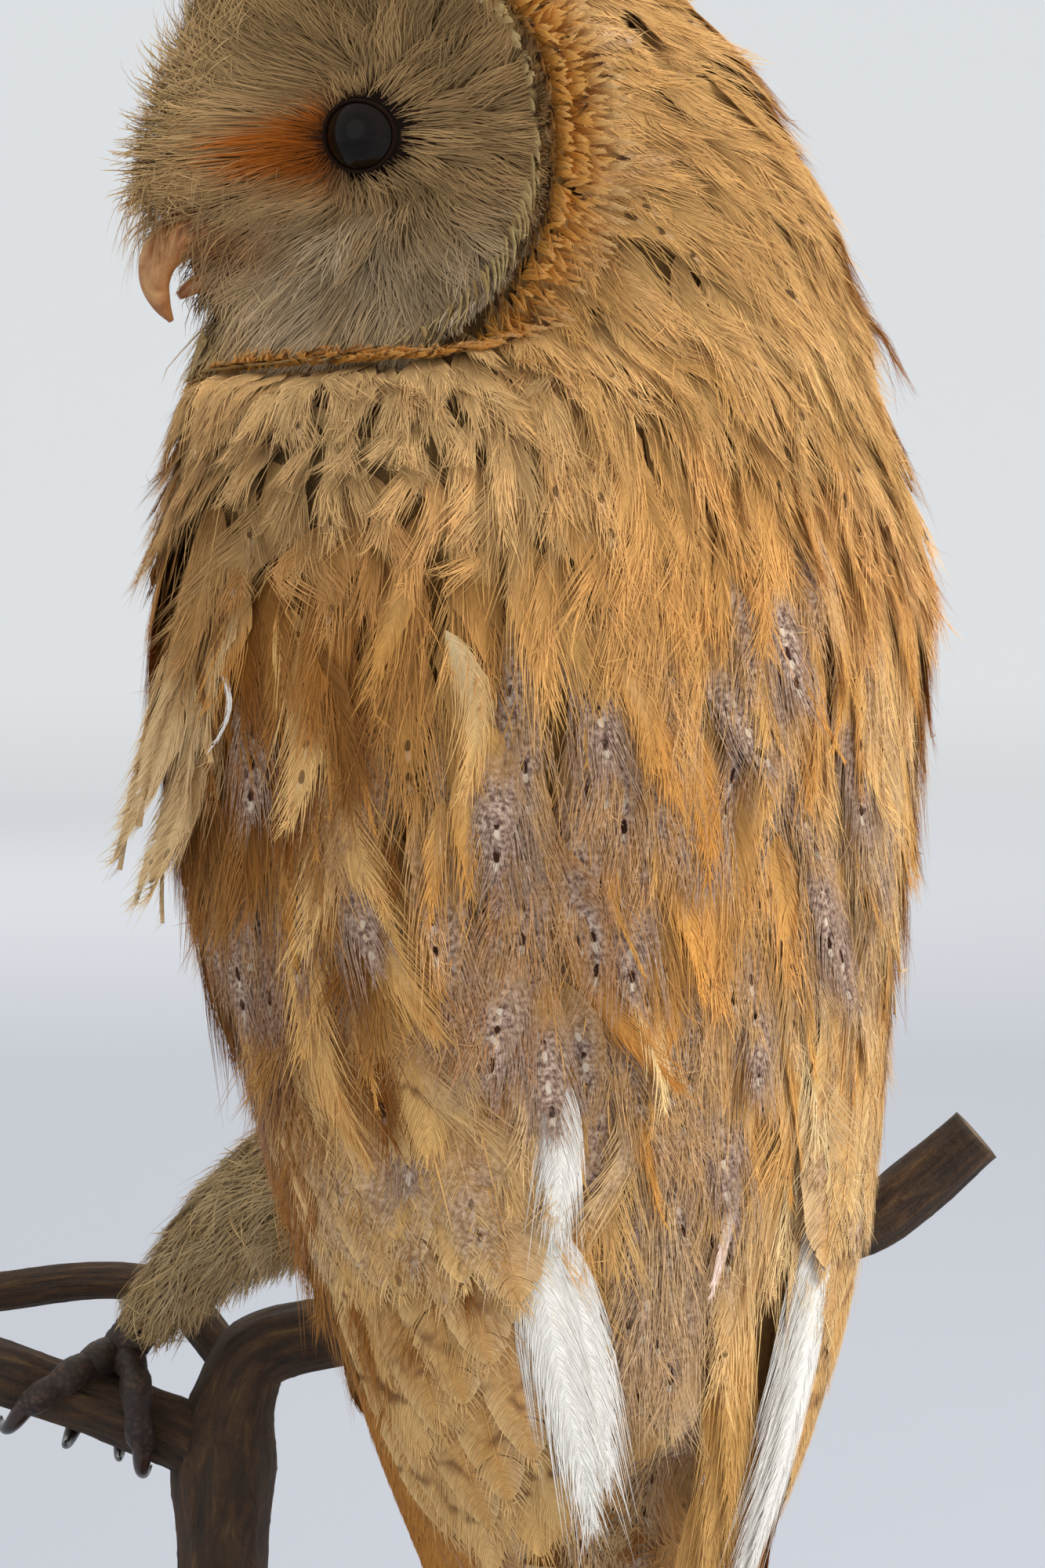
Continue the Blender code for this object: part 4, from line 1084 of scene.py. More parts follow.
# ------------------------------------------------------------------ skin: one closed surface inside the coat
def skin_depth(p):
    off, rho, _ = face_measure(p)
    f, l, u = head_coords(p)
    on_face = smooth(f, -28.0, -16.0) * (rho < 1.02) * (p[..., 2] > 320)
    leg = (p[..., 1] < -30) & (p[..., 2] < 202)
    d = 3.2 - 2.0 * on_face
    return np.where(leg, 1.5, d)


quads = np.array([q for q in polys if len(q) == 4], np.int32)
rest = np.array([q for q in polys if len(q) == 3], np.int32).reshape(-1, 3)
surf = coat.co
depth = skin_depth(surf)
skin_v = surf - no * depth[:, None]
# the skin shows only in the gaps between feathers; its colour is the plumage colour darkened to 0.62, painted shade in
# those gaps
tone = plumage_at(surf) * 0.62
f_, l_, u_ = head_coords(surf)
facew = smooth(f_, -26.0, -16.0) * (np.hypot(l_, u_) / ruff_radius(np.degrees(np.arctan2(l_, u_))) < 1.0) * (surf[:, 2] > 320)
tone = lerp(tone, lin(128, 98, 62), facew)
def under_face(t):
    al = np.abs(l_)
    rr = np.hypot(al - 21.5, u_)
    t = lerp(t, lin(120, 62, 18), facew * np.exp(-(((al - 14.0) / 4.0) ** 2 + ((u_ + 1.8) / 4.2) ** 2)))
    return lerp(t, lin(44, 26, 15), facew * np.exp(-((rr / 8.2) ** 4)))


tone = under_face(tone)
ang = np.arctan2(surf[:, 0], surf[:, 1])
suv = np.stack([0.5 + ang / (2 * math.pi), (surf[:, 2] - surf[:, 2].min()) / np.ptp(surf[:, 2])], -1)
skin = mesh_object("skin", skin_v, quads, rest, SKIN, {"tint": ("FLOAT_COLOR", tone)}, suv)
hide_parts(*FLESH)
pieces.append(skin)

# ------------------------------------------------------------------ contour feathers
def zone_head(p):
    off, rho, _ = face_measure(p)
    return in_head(p) & (off < -2.5) & (p[:, 2] > 326) & ((rho > 0.9) | (off < -20.0))


def hem(p):
    """Wandering height where the neck's feathers give way to the back's."""
    return 317.0 + 9.0 * wave(p, 12.0, 0.5)


def zone_neck(p):
    off, rho, _ = face_measure(p)
    f, l, u = head_coords(p)
    under = ((off > -4.0) & (rho < 0.95) & (u < -20.0)) | ((rho < 0.95) & (f > -12.0))
    return (p[:, 2] > hem(p) - 4.0) & ~zone_head(p) & ~(in_head(p) & (off > -2.0) & (rho < 0.985)) & ~under


def is_leg(p):
    near, _ = body_coat.nearest(p)
    return (np.linalg.norm(near - p, axis=1) > 1.6) & (p[:, 2] < 216) & (np.abs(p[:, 0]) < 62)


def zone_mantle(p):
    a = np.abs(body_angle(p))
    low = (a < 17 + 12 * smooth(-p[:, 2], -152.0, -138.0)) & (p[:, 2] > 127)
    return (p[:, 2] <= hem(p) + 3.0) & (a < 116) & ((p[:, 2] > 202 + 9.0 * wave(p, 8.0, 1.0)) | low)


def zone_breast(p):
    a = np.abs(body_angle(p))
    return (p[:, 2] <= hem(p) + 3.0) & (a >= 108) & (p[:, 2] > 128)


small = Coat("plumage_head")
r = spread(coat, 30000, zone_head, lambda p: np.full(len(p), 3.5), 11)
contour(small, r, 14.0, 3.6, 0.42, 2.2, 0.9, 16.0, steps=5, spots=lambda p: 0.8 * (rng.rand(len(p)) < 0.3), rows=5, panels=2,
        grey=lambda p: 0.45 * smooth(wave(p, 7.0, 3.0), 0.3, 0.9) * smooth(p[:, 2], 350, 380), rachis=0.0, blunt=2.2, sweep=1.1)
print("head", len(r), round(time.time() - STARTED, 1))

neck = Coat("plumage_neck")
r = spread(coat, 30000, zone_neck, lambda p: np.full(len(p), 4.1), 12)
nf, _, nu = head_coords(r)
contour(neck, r, np.where((nf > -12.0) & (nu < -30.0), 15.0, 27.0), 5.4, 0.52, 2.6, 1.5, 30.0, steps=9, slim=0.66, over=1.8, hair_w=0.14, tip_hair=1.25, fray=0.30, deep=0.60, light=1.38, pale_edge=0.75,
        spots=lambda p: 0.8 * (rng.rand(len(p)) < 0.16), rachis=0.0, blunt=1.75, point=0.92, rows=8, panels=2, sweep=2.3, curl=0.05, wavy=3.2, roll=14.0, camber=0.3,
        rough=0.10, torn=0.25, gap=0.9, grey=lambda p: np.zeros(len(p)))
print("neck", len(r), round(time.time() - STARTED, 1))

chin_turn = np.concatenate([np.arange(100.0 + 1.1 * k, 262.0, 3.3) for k in range(3)])
chin_rho = np.concatenate([np.full(len(np.arange(100.0 + 1.1 * k, 262.0, 3.3)), 0.97 + 0.05 * k) for k in range(3)])
chin_r = ruff_radius(chin_turn) * chin_rho
cth = np.radians(chin_turn)
chin_root = head_point(ruff_forward(chin_turn) - 1.0, chin_r * np.sin(cth), chin_r * np.cos(cth)) + UP * 1.6
chin_root, _ = coat.nearest(chin_root)
contour(neck, chin_root, 22.0, 4.4, 0.60, 0.9, 1.9, 16.0, steps=7, slim=0.66, over=1.6, hair_w=0.14, tip_hair=1.25, fray=0.30, deep=0.66, light=1.34, pale_edge=0.75,
        spots=lambda p: np.zeros(len(p)), rachis=0.0, blunt=1.75, point=0.92, rows=7, panels=2, sweep=2.2, curl=0.04, wavy=1.6, roll=10.0, camber=0.3,
        rough=0.10, torn=0.25, gap=0.9, grey=lambda p: np.zeros(len(p)), heading=unit(flow(chin_root) * 0.3 + np.array([0.0, 0.0, -1.0])))

mantle = Coat("plumage_back")
r = spread(body_coat, 26000, zone_mantle, lambda p: np.full(len(p), 7.2), 13)
contour(mantle, r, 33.0, 9.4, 0.44, 2.8, 1.1, 21.0, steps=8, surface=body_coat, rachis=0.0, blunt=1.8, point=0.90, sweep=1.9, curl=0.03, wavy=2.6,
        roll=10.0, camber=0.24, rough=0.12, torn=0.35, gap=1.2, rows=9, panels=3, slim=0.74, over=1.6, hair_w=0.15, fray=0.30, deep=0.70, light=1.34, pale_edge=0.65)
print("mantle", len(r), round(time.time() - STARTED, 1))

breast = Coat("plumage_breast")
r = spread(body_coat, 26000, zone_breast, lambda p: np.full(len(p), 6.4), 14)
contour(breast, r, 25.0, 7.0, 0.55, 2.8, 1.3, 12.0, steps=7, surface=body_coat, rachis=0.0, blunt=2.2, sweep=1.15, wavy=0.8, rough=0.2, rows=7,
        panels=2, grey=lambda p: np.zeros(len(p)), spots=lambda p: 1.0 * (rng.rand(len(p)) < 0.4), camber=0.28)
print("breast", len(r), round(time.time() - STARTED, 1))

LEG_LEFT = ((25, -4, 199, 16.5), (28.5, -20, 194, 14.6), (32.5, -38, 187, 12.2), (35.5, -55, 177.5, 9.6), (37.5, -70, 167, 7.4), (39.8, -83, 156, 5.8))
LEG_RIGHT = ((-25, -4, 200, 16.5), (-26.5, -16, 195, 14.5), (-27, -28, 190, 11.5), (-26, -38.5, 184.5, 8.6), (-25.4, -47, 177.5, 6.1))


def leg_heading(p):
    out = np.zeros(p.shape)
    for side, st in ((1, LEG_LEFT), (-1, LEG_RIGHT)):
        st = np.array(st, float)[:, :3]
        d = np.gradient(st, axis=0)
        k = np.argmin(np.linalg.norm(p[:, None] - st[None], axis=2), axis=1)
        out = np.where((np.sign(p[:, :1]) == side), d[k], out)
    return unit(out)


legs = Coat("plumage_legs")
r = spread(coat, 120000, lambda p: is_leg(p) & (p[:, 2] > 154), lambda p: np.full(len(p), 0.80), 15)
r = np.repeat(r, 2, 0)
r = r + rng.normal(0, 0.5, r.shape)
r, nor = coat.nearest(r)
hd = turned(r, leg_heading(r), 20.0 * wave(r, 6.0, 0.7) + rng.normal(0, 10.0, len(r)))
L = rng.uniform(7.0, 14.0, len(r))
pts, nn = lay(r, hd, L, 4, coat, flow_pull=0.0)
s4 = np.linspace(0, 1, 5)[None, :, None]
clump = wave(r, 4.2, 1.9)[:, None, None]
pts = pts + nn * (-1.2 + (1.6 + 0.9 * rng.rand(len(r), 1, 1) + 0.9 * clump) * s4 ** 0.8)
pts = pts + rng.normal(0, 0.8, (len(r), 1, 3)) * s4 ** 2 + np.array([0, 0, -1.0]) * s4 ** 2 * 1.8
tone_ = lerp(np.broadcast_to(lin(186, 152, 100), (len(r), 3)), lin(206, 178, 132), np.clip(0.5 + 0.6 * clump[:, 0, 0], 0, 1)) * rng.uniform(0.66, 0.98, (len(r), 1))
hairs(legs, nor[:, None, :], pts, rng.uniform(0.20, 0.36, len(r)), tone_[:, None, :] * (0.55 + 0.5 * s4), rng.rand(len(r)))
print("legs", len(r), round(time.time() - STARTED, 1))


# ------------------------------------------------------------------ flight feathers
def flight(piece, zs, ss, side, half, lift, base_col, tip_col, bars=0.8, grey=0.0, spots=0.0, white_inner=0.0, inner=1.25, outer=0.8,
           spacing=1.05, place=None, blunt=3.2, K=12, rough=0.02, twist=0.0, margin_and_highlight_col=None, tail=False, fluff=0.03, panels=4, torn=0.35, fray=0.12):
    """One flight feather along a line (height, place across the wing) given at its root and tip; inner web towards the back."""
    t = np.linspace(0, 1, K + 1)
    z = zs[0] + (zs[1] - zs[0]) * t
    s = ss[0] + (ss[1] - ss[0]) * t
    fn = place or (lambda zz, sv, off: wing_point(zz, sv, side, -off))
    off = lift[0] + (lift[1] - lift[0]) * t
    p = fn(z, s, off)
    e = 0.01
    du = fn(z, s + (e if not tail else 0.2), off) - p
    T = np.gradient(p, axis=0)
    n = unit(np.cross(T, du))
    ref = p - np.stack([np.zeros_like(z), np.full_like(z, 8.0), z], -1)
    n = n * np.sign((n * ref).sum(-1, keepdims=True))
    spine, normal = p[None], n[None]
    if twist:
        B = unit(np.cross(unit(T), n))
        normal = unit(n + B * twist)[None]
    L = np.array([np.linalg.norm(np.diff(p, axis=0), axis=1).sum()])
    H = np.array([half])
    # inner web lies towards the middle of the back: find which side of the shaft that is
    B = unit(np.cross(unit(T[K // 2]), normal[0, K // 2]))
    back = np.array([0.0, 1.0, 0.0]) if not tail else np.array([1.0, 0, 0])
    inner_sign = 1 if B @ back > 0 else -1
    base, tip = base_col[None], tip_col[None]
    paint = painter(base, tip, None if margin_and_highlight_col is None else margin_and_highlight_col[None], vary=0.16)

    def colour(tt, b, d, q, seed, ls):
        c = paint(tt, b, d, q, seed, ls)
        if white_inner:
            w = smooth(b * inner_sign, 0.4, half * 0.35) * white_inner
            c = lerp(c, WHITE * (0.9 + 0.1 * ls[..., None] if np.ndim(ls) else 1.0), w)
        return c

    g = marker(np.array([grey]), np.array([spots]), np.array([bars]), 0.4, 0.8)

    def marks(tt, b, d, q, seed):
        m = g(tt, b, d, q, seed)
        if white_inner:
            m = m * (1 - white_inner * smooth(b * inner_sign, 0.4, half * 0.35))[..., None]
        return m

    seeds = rng.rand(1)
    w_neg, w_pos = (inner, outer) if inner_sign < 0 else (outer, inner)
    plume(piece, spine, normal, L, H * w_pos, colour, marks, seeds, rows=22, panels=panels, t0=0.1, sweep=0.75, camber=0.12, fluff=fluff, rough=rough, blunt=blunt,
          hair=spacing, hair_w=0.2, fray=fray, over=0.6, gap=1.6, torn=torn, rachis=0.55, inner_scale=w_neg / w_pos, slim=0.97)


def wing_end(s):
    if s <= 0.5:
        return 134 + 6 * (1 - math.sin(math.pi * s / 0.5)) ** 2
    t = (s - 0.5) / 0.5
    return 47 + 62 * (1 - min(1, t / 0.75)) ** 1.5 + 9 * max(0, (t - 0.75) / 0.25) ** 1.6


SEC, PRIM = lin(202, 154, 90), lin(170, 110, 40)
wings = Coat("feathers_wing")
for side in (1, -1):
    # primaries, the outermost lowest
    for i in range(9):
        s = 0.90 - 0.052 * i
        end = 47 + (0 if i < 2 else (i - 2) * 9.0)
        flight(wings, (208.0 - 2 * i, end), (min(0.93, s + 0.02), max(0.30, s - 0.16 + 0.01 * i)), side, 7.4, (-1.6 + 0.18 * i, 0.1 + 0.2 * i), PRIM, lerp(PRIM, SEC, 0.04 * i),
               bars=0.45, inner=1.3, outer=0.8, white_inner=0.12, grey=0.06)
    # secondaries, the innermost on top
    for i in range(10):
        s = 0.49 - 0.046 * i
        end = wing_end(max(0.03, min(0.5, s))) + (0, 17, 3, 24, 8, 30, 13, 37, 20, 46)[i]
        # darker base (0.85) and pale cream margins: partly the feathers' own colour, partly painted shade where the
        # next feather overlaps and painted highlight along the edges
        flight(wings, (222.0, end), (s + 0.02, s - 0.015), side, 10.0, (-1.2 + 0.12 * i, 1.0 + 0.34 * i + 0.5 * (i % 2)), lerp(SEC, PRIM, 0.6) * 0.85, lerp(SEC, PRIM, 0.15), margin_and_highlight_col=lin(232, 200, 142),
               bars=0.8, inner=1.15, outer=0.95, white_inner=0.10, grey=0.15 if i > 6 else 0.04, rough=0.07)
    # primary coverts and greater coverts
    for i in range(8):
        s = 0.93 - 0.045 * i
        flight(wings, (238.0, 176.0 + 2.2 * i), (s, s - 0.03), side, 6.6, (-1.2 + 0.1 * i, 1.5 + 0.15 * i), PRIM, lerp(PRIM, BROWN, 0.12), bars=0.4, grey=0.2,
               inner=1.0, outer=0.9, rough=0.06, spacing=0.95)
    for i in range(11):
        s = 0.60 - 0.054 * i
        # pale cream margins: partly the coverts' own colour, partly painted highlight along their edges
        flight(wings, (240.0, 184.0 + 3.0 * math.sin(i * 2.4)), (s + 0.01, s), side, 9.0, (-0.8, 2.4 + 0.18 * i), lerp(GOLD, PRIM, 0.3), lerp(GOLD, CREAM, 0.15 + 0.1 * math.sin(i * 1.7)), margin_and_highlight_col=lin(234, 200, 142),
               bars=0.35, grey=0.35 + 0.35 * math.sin(i * 2.1 + side), spots=0.6, inner=1.0, outer=0.95, rough=0.14, spacing=0.7, fluff=0.06, fray=0.3, torn=0.45)
print("wings", round(time.time() - STARTED, 1))


def tail_place(z, x, off):
    v = (149.65 - z) / 92.65
    v = np.clip(v, -0.4, 1.0)
    mid = 16 + 12 * np.clip(v, 0, 1) ** 0.8
    root = np.maximum(0, 1 - np.clip(v, 0, 1) / 0.32) ** 1.6
    half = 20 - 2.5 * v + 3 * root
    thick = (5.6 - 3 * v + 17 * root) * 0.5
    edge = np.sqrt(np.clip(1 - (x / 1.02) ** 2, 0.02, 1))
    return np.stack([x * half, mid + thick * edge * 0.9 + off, z + 0 * x], -1)


tail = Coat("feathers_tail")
for i, x in enumerate((-0.84, 0.84, -0.66, 0.66, -0.5, 0.5, -0.34, 0.34, -0.18, 0.18, -0.04, 0.06)):
    flight(tail, (162.0, 57.0 + (3.0 if abs(x) > 0.6 else 0.0)), (x * 0.7, x), 1, 6.6, (-2.0 + 0.1 * i, -1.2 + 0.16 * i), lerp(SEC, PALE, 0.4), lerp(SEC, PALE, 0.55), bars=0.9,
           grey=0.15, white_inner=0.3, inner=1.05, outer=1.0, place=tail_place, tail=True, blunt=3.0)
print("tail", round(time.time() - STARTED, 1))

# ------------------------------------------------------------------ single feathers that stand out
special = Coat("feathers_loose")


def loose(z0, a0, z1, a1, half, lift0, lift1, base_c, tip_c, spacing=0.8, K=10, bend=0.0, roll=0.0, out=0.0, bars=0.0, spots=0.0, grey=0.0, **kw):
    rise = kw.pop("rise", 1.3)
    """A single feather from (height, body angle) to (height, body angle), lifting off the surface by lift0 .. lift1 plus out at mid-length."""
    t = np.linspace(0, 1, K + 1)
    z = z0 + (z1 - z0) * t
    a = a0 + (a1 - a0) * t + bend * np.sin(math.pi * t)
    lift = lift0 + (lift1 - lift0) * t ** rise + out * np.sin(math.pi * t)
    p = body_point(z, a, -lift)
    T = np.gradient(p, axis=0)
    e = body_point(z, a + 0.5, -lift) - p
    n = unit(np.cross(T, e))
    ref = p - np.stack([np.zeros_like(z), np.full_like(z, 5.0), z], -1)
    n = n * np.sign((n * ref).sum(-1, keepdims=True))
    B = unit(np.cross(unit(T), n))
    n = unit(n + B * math.tan(math.radians(roll)))
    L = np.array([np.linalg.norm(np.diff(p, axis=0), axis=1).sum()])
    opts = dict(t0=0.12, sweep=1.9, camber=0.22, fluff=0.06, rough=0.12, blunt=1.8, point=0.88, rachis=0.0, rows=10, panels=3, hair=spacing * 0.66, hair_w=0.16, slim=0.72, over=1.6)
    opts.update(kw)
    plume(special, p[None], n[None], L, np.array([half]), painter(base_c[None], tip_c[None], vary=0.2),
          marker(np.array([grey]), np.array([spots]), np.array([bars])), rng.rand(1), **opts)


# white inner webs that show between the folded secondaries
WEB = dict(sweep=2.2, blunt=2.4, point=0.75, hair=0.35, slim=0.92, rough=0.05, fluff=0.012, rows=14, panels=3, torn=0.4, gap=0.4, rise=0.45)
loose(212, 30.5, 145, 20.5, 5.2, -1.6, 5.6, WHITE, WHITE, bend=1.0, **WEB)
loose(199, 25.0, 151, 17.0, 4.4, -1.2, 4.6, WHITE * 0.95, WHITE, bend=-1.0, **WEB)
loose(223, 20.0, 194, 23.5, 4.2, -1.6, 4.6, WHITE, WHITE, **WEB)
loose(217, -36.0, 130, -26.0, 4.6, -1.6, 6.0, WHITE, WHITE, bend=-1.0, **WEB)
loose(203, -32.5, 126, -23.4, 4.2, -1.4, 5.2, WHITE * 0.96, WHITE, bend=-1.0, **WEB)
for k in range(9):                                   # buff feathers that close the cleft beside it
    loose(192 - 5.0 * k, -13.0 - 2.2 * (k % 4), 146 - 4.6 * k, -16.0 - 2.0 * (k % 4), 5.2, -1.4, 2.2 + 0.25 * k, lerp(GOLD, ORANGE, 0.35), lerp(GOLD, CREAM, 0.2 * (k % 3)),
          0.7, roll=(-1) ** k * 8, bars=0.5 * (k % 2), rough=0.16, fray=0.35)
loose(203, -15.0, 181, -4.0, 1.5, -0.8, 4.6, WHITE, lin(226, 200, 186), 0.6, rough=0.1)
# pale and buff loose feathers of the mantle
loose(297, 37.0, 267, 32.0, 4.0, -1.2, 2.6, PALE, lin(230, 186, 120), 0.7, bend=-4.0, roll=14, curl=0.1)
loose(302, 22.0, 266, 3.0, 6.0, -1.2, 3.8, lin(226, 178, 108), lin(206, 146, 74), 0.7, bend=-5.0, roll=-12)
loose(298, 18.0, 270, 6.0, 4.6, -0.8, 4.4, lin(232, 194, 134), lerp(GOLD, ORANGE, 0.5), 0.7, bend=-4.0, roll=10)
loose(290, 10.0, 252, -3.0, 5.0, -1.2, 3.2, GOLD, lin(214, 150, 72), 0.7, bend=-5.0, roll=10)
loose(266, 12.0, 232, -2.0, 4.2, -1.2, 3.4, GOLD, lin(222, 160, 80), 0.7, bend=-4.0, roll=-10)
loose(248, 18.0, 217, 3.0, 4.2, -1.0, 3.6, GOLD, ORANGE, 0.7, bend=3.0, roll=12)
loose(244, 13.0, 214, 5.0, 3.6, -1.0, 4.4, GOLD, lin(234, 200, 142), 0.7, bend=-3.0, roll=-14)
for k in range(34):                                  # strands of gold that part the grey patches
    a = rng.uniform(-62, 62)
    z = rng.uniform(226, 300)
    turn_ = rng.uniform(-9, 5)
    loose(z, a, z - rng.uniform(24, 36), a + turn_, rng.uniform(1.4, 3.0), -1.2, rng.uniform(1.6, 2.8), lerp(GOLD, ORANGE, rng.uniform(0, 0.5)),
          lerp(lin(208, 144, 66), lin(222, 172, 100), rng.rand()), 0.75, bend=rng.uniform(-3, 3), roll=rng.uniform(-10, 10), fray=0.4, blunt=1.6, point=1.0)
for k, (z, a) in enumerate(((236, 26), (229, 37), (224, 19), (217, 31), (233, 45), (221, 12))):   # the disordered fold across the lower left back
    loose(z, a, z - 20 - 3 * (k % 3), a + (9, -8, 12, -6, -11, 7)[k], 5.0, -0.8, 3.2, lerp(GOLD, GREYLILAC, 0.3 + 0.4 * (k % 2)), lerp(lin(220, 182, 124), GREYLILAC, 0.3 * (k % 3 == 0)),
          0.7, bend=(-1) ** k * 6.0, roll=(-1) ** k * 16, rough=0.14, grey=0.5 * (k % 2), curl=0.12)
# broad buff feathers of the folded wings, round at the tip, and pale ones over the left shoulder, whose paleness is
# painted light
for k, (z0, a0, z1, a1, half) in enumerate(((192, 53, 140, 45, 8.5), (188, 43, 137, 35, 9.0), (198, 36, 141, 29, 7.6), (204, 73, 154, 63, 7.5), (208, 61, 160, 53, 8.0), (214, 50, 170, 43, 8.0),
                                            (222, 41, 182, 36, 7.4), (224, 71, 180, 66, 7.0), (232, 58, 192, 55, 7.4), (240, 48, 206, 45, 6.8), (202, -50, 152, -39, 6.6),
                                            (216, -47, 168, -39, 6.4), (232, -52, 186, -46, 6.4), (190, 62, 134, 50, 7.4),
                                            (240, -35, 202, -41, 4.6), (228, -36, 188, -38, 4.4), (214, -37, 178, -35, 4.2), (248, -38, 214, -43, 4.4))):
    # feathers at negative body angles get the paler colour and tips 1.12 times lighter: painted light on that side of
    # the bird, against the darker colour on the other side
    loose(z0, a0, z1, a1, half, -1.4, 1.9 + 0.16 * (k % 10), lin(198, 150, 84) if a0 > 0 else lin(218, 178, 116), lerp(lin(212, 168, 104), lin(228, 192, 134), rng.rand()) * (1.0 if a0 > 0 else 1.12), 0.5, bend=(-1) ** k * 2.5, roll=(-1) ** k * 8,
          bars=0.9, blunt=3.2, point=0.6, slim=0.9, rough=0.06, fluff=0.03, sweep=1.8, camber=0.3, fray=0.15, over=0.8, torn=0.35, tip_hair=0.8, curl=0.05)
for k, (z0, a0, z1, a1, half) in enumerate(((294, 53, 248, 45, 6.6), (286, 62, 242, 60, 6.0), (272, 47, 228, 40, 6.6), (264, 73, 224, 66, 5.6), (256, 57, 214, 61, 6.2), (302, 66, 262, 60, 5.6),
                                            (244, 66, 206, 58, 5.6), (302, -4, 262, -12, 6.0), (296, -46, 258, -40, 5.6), (262, -50, 222, -46, 5.0))):
    loose(z0, a0, z1, a1, half, -1.4, 3.0, lin(212, 164, 94), lerp(lin(230, 188, 124), lin(222, 168, 92), rng.rand() * 0.7), 0.7, bend=(-1) ** k * 6.0, roll=(-1) ** k * 12,
          spots=0.7 * (k % 2), blunt=2.2, point=0.8, slim=0.85, rough=0.14, fluff=0.05, sweep=1.8, camber=0.32, fray=0.3, over=1.3, torn=0.5, curl=0.12)
# broad grey tips, each with its dark and white drop
for z, a, half in ((267, 30, 7.0), (285, 14, 6.4), (232, 33, 7.6), (224, 22, 6.6), (209, -8, 7.2), (257, -40, 6.6), (240, -36, 6.0), (293, -18, 6.4), (276, 66, 5.4), (240, 78, 6.0),
                   (264, -3, 6.2), (282, -9, 5.6), (246, 6, 6.2), (228, -12, 6.0), (248, -24, 5.6), (270, -30, 5.4), (252, 52, 6.0), (214, 48, 6.0)):
    loose(z + 15, a + rng.uniform(-2, 2), z - 13, a + rng.uniform(-4, 4), half, -1.2, 2.9, GOLD, GREYLILAC, 0.7, bend=rng.uniform(-3, 3), roll=rng.uniform(-8, 8), grey=1.0, spots=1.0,
          blunt=2.2, point=0.8, slim=0.9, fray=0.35, torn=0.3, rough=0.12, hair_from=0.3)
# ragged pale feathers standing off the left shoulder
RAG = ((294, 76, 252, 92, 6.0, 9.0), (292, 84, 246, 99, 6.0, 12.0), (286, 92, 243, 106, 5.0, 11.0), (282, 80, 240, 94, 6.0, 9.0), (289, 72, 252, 80, 6.5, 6.0),
       (278, 88, 238, 101, 4.6, 10.0), (296, 68, 264, 74, 6.0, 4.0), (285, 98, 250, 112, 5.0, 9.0), (272, 84, 236, 90, 4.4, 9.0))
for k, (z0, a0, z1, a1, half, lift) in enumerate(RAG):
    loose(z0 + 7, a0, z1 + 7, a1, half, -1.0, lift, lin(210, 174, 120), lerp(CREAM, lin(236, 212, 170), 0.3 + 0.2 * (k % 3)), 0.7, bend=(-1) ** k * 6.0, roll=(-1) ** k * 14, rough=0.22, fluff=0.16,
          sweep=1.5, spots=0.6 * (k % 2), curl=0.16, blunt=2.4, torn=0.7, gap=2.2, fray=0.3, over=1.2, tip_hair=1.0, panels=4)
loose(288, 76, 273, 72, 0.8, 1.0, 6.5, WHITE, WHITE, 1.1, bend=-4.0, rough=0.3, rachis=0.5)
for k in range(26):                                  # tufts that break the outline of nape and shoulders
    a = (-38, -52, -64, -76, -30, 40, 66, 90, 104, -92)[k % 10] + rng.uniform(-7, 7)
    z = rng.uniform(262, 322)
    loose(z, a, z - rng.uniform(20, 28), a + rng.uniform(-7, 7), rng.uniform(3.5, 5.5), -1.0, rng.uniform(1.8, 3.6), lerp(GOLD, CREAM, rng.uniform(0.1, 0.7)),
          lerp(GOLD, ORANGE, rng.uniform(0, 0.7)), 0.8, roll=rng.uniform(-16, 16), rough=0.2, spots=float(rng.rand() < 0.4))

# ------------------------------------------------------------------ face: fine hair-like feathers that radiate from each eye
face = Coat("plumage_face")
H = 62000


def lock(ci, cj, k):
    v = np.sin(ci * 12.9898 + cj * 78.233 + k * 37.719) * 43758.5453
    return v - np.floor(v)


def face_fields(l, u, side):
    """Rust patch, dark rim of the eye, dark strands and brown gape, by place on the face."""
    al = np.abs(l)
    rr = np.hypot(al - EYE_SIDE, u)
    to_bill = np.maximum(0, 13.0 - al)
    rust = np.exp(-((np.maximum(0, 11.8 - al) / 5.4) ** 3 + (np.maximum(0, al - 11.8) / 5.0) ** 2 + ((u + 1.6 + 0.22 * to_bill) / np.maximum(2.8, 6.0 - 0.30 * to_bill)) ** 2))
    dark = np.exp(-((rr - 6.0) / 1.15) ** 2) + 0.9 * np.exp(-(((al - 15.0) / 1.5) ** 2 + ((u + 1.0) / 4.0) ** 2)) + 0.5 * np.exp(-(((al - 15.6) / 2.8) ** 2 + ((u + 8.0) / 2.2) ** 2))
    strands = np.exp(-(((al - 25.7) / 1.0) ** 2 + ((u + 14.5) / 3.6) ** 2)) + np.exp(-(((al - 29.2) / 1.2) ** 2 + ((u + 11.5) / 2.6) ** 2)) + 0.8 * np.exp(-(((al - 29.5) / 1.8) ** 2 + ((u - 0.5) / 1.6) ** 2))
    gape = np.exp(-(((al - 5.5) / 3.6) ** 2 + ((u + 19.5) / 4.6) ** 2))
    return rust, dark, strands, gape


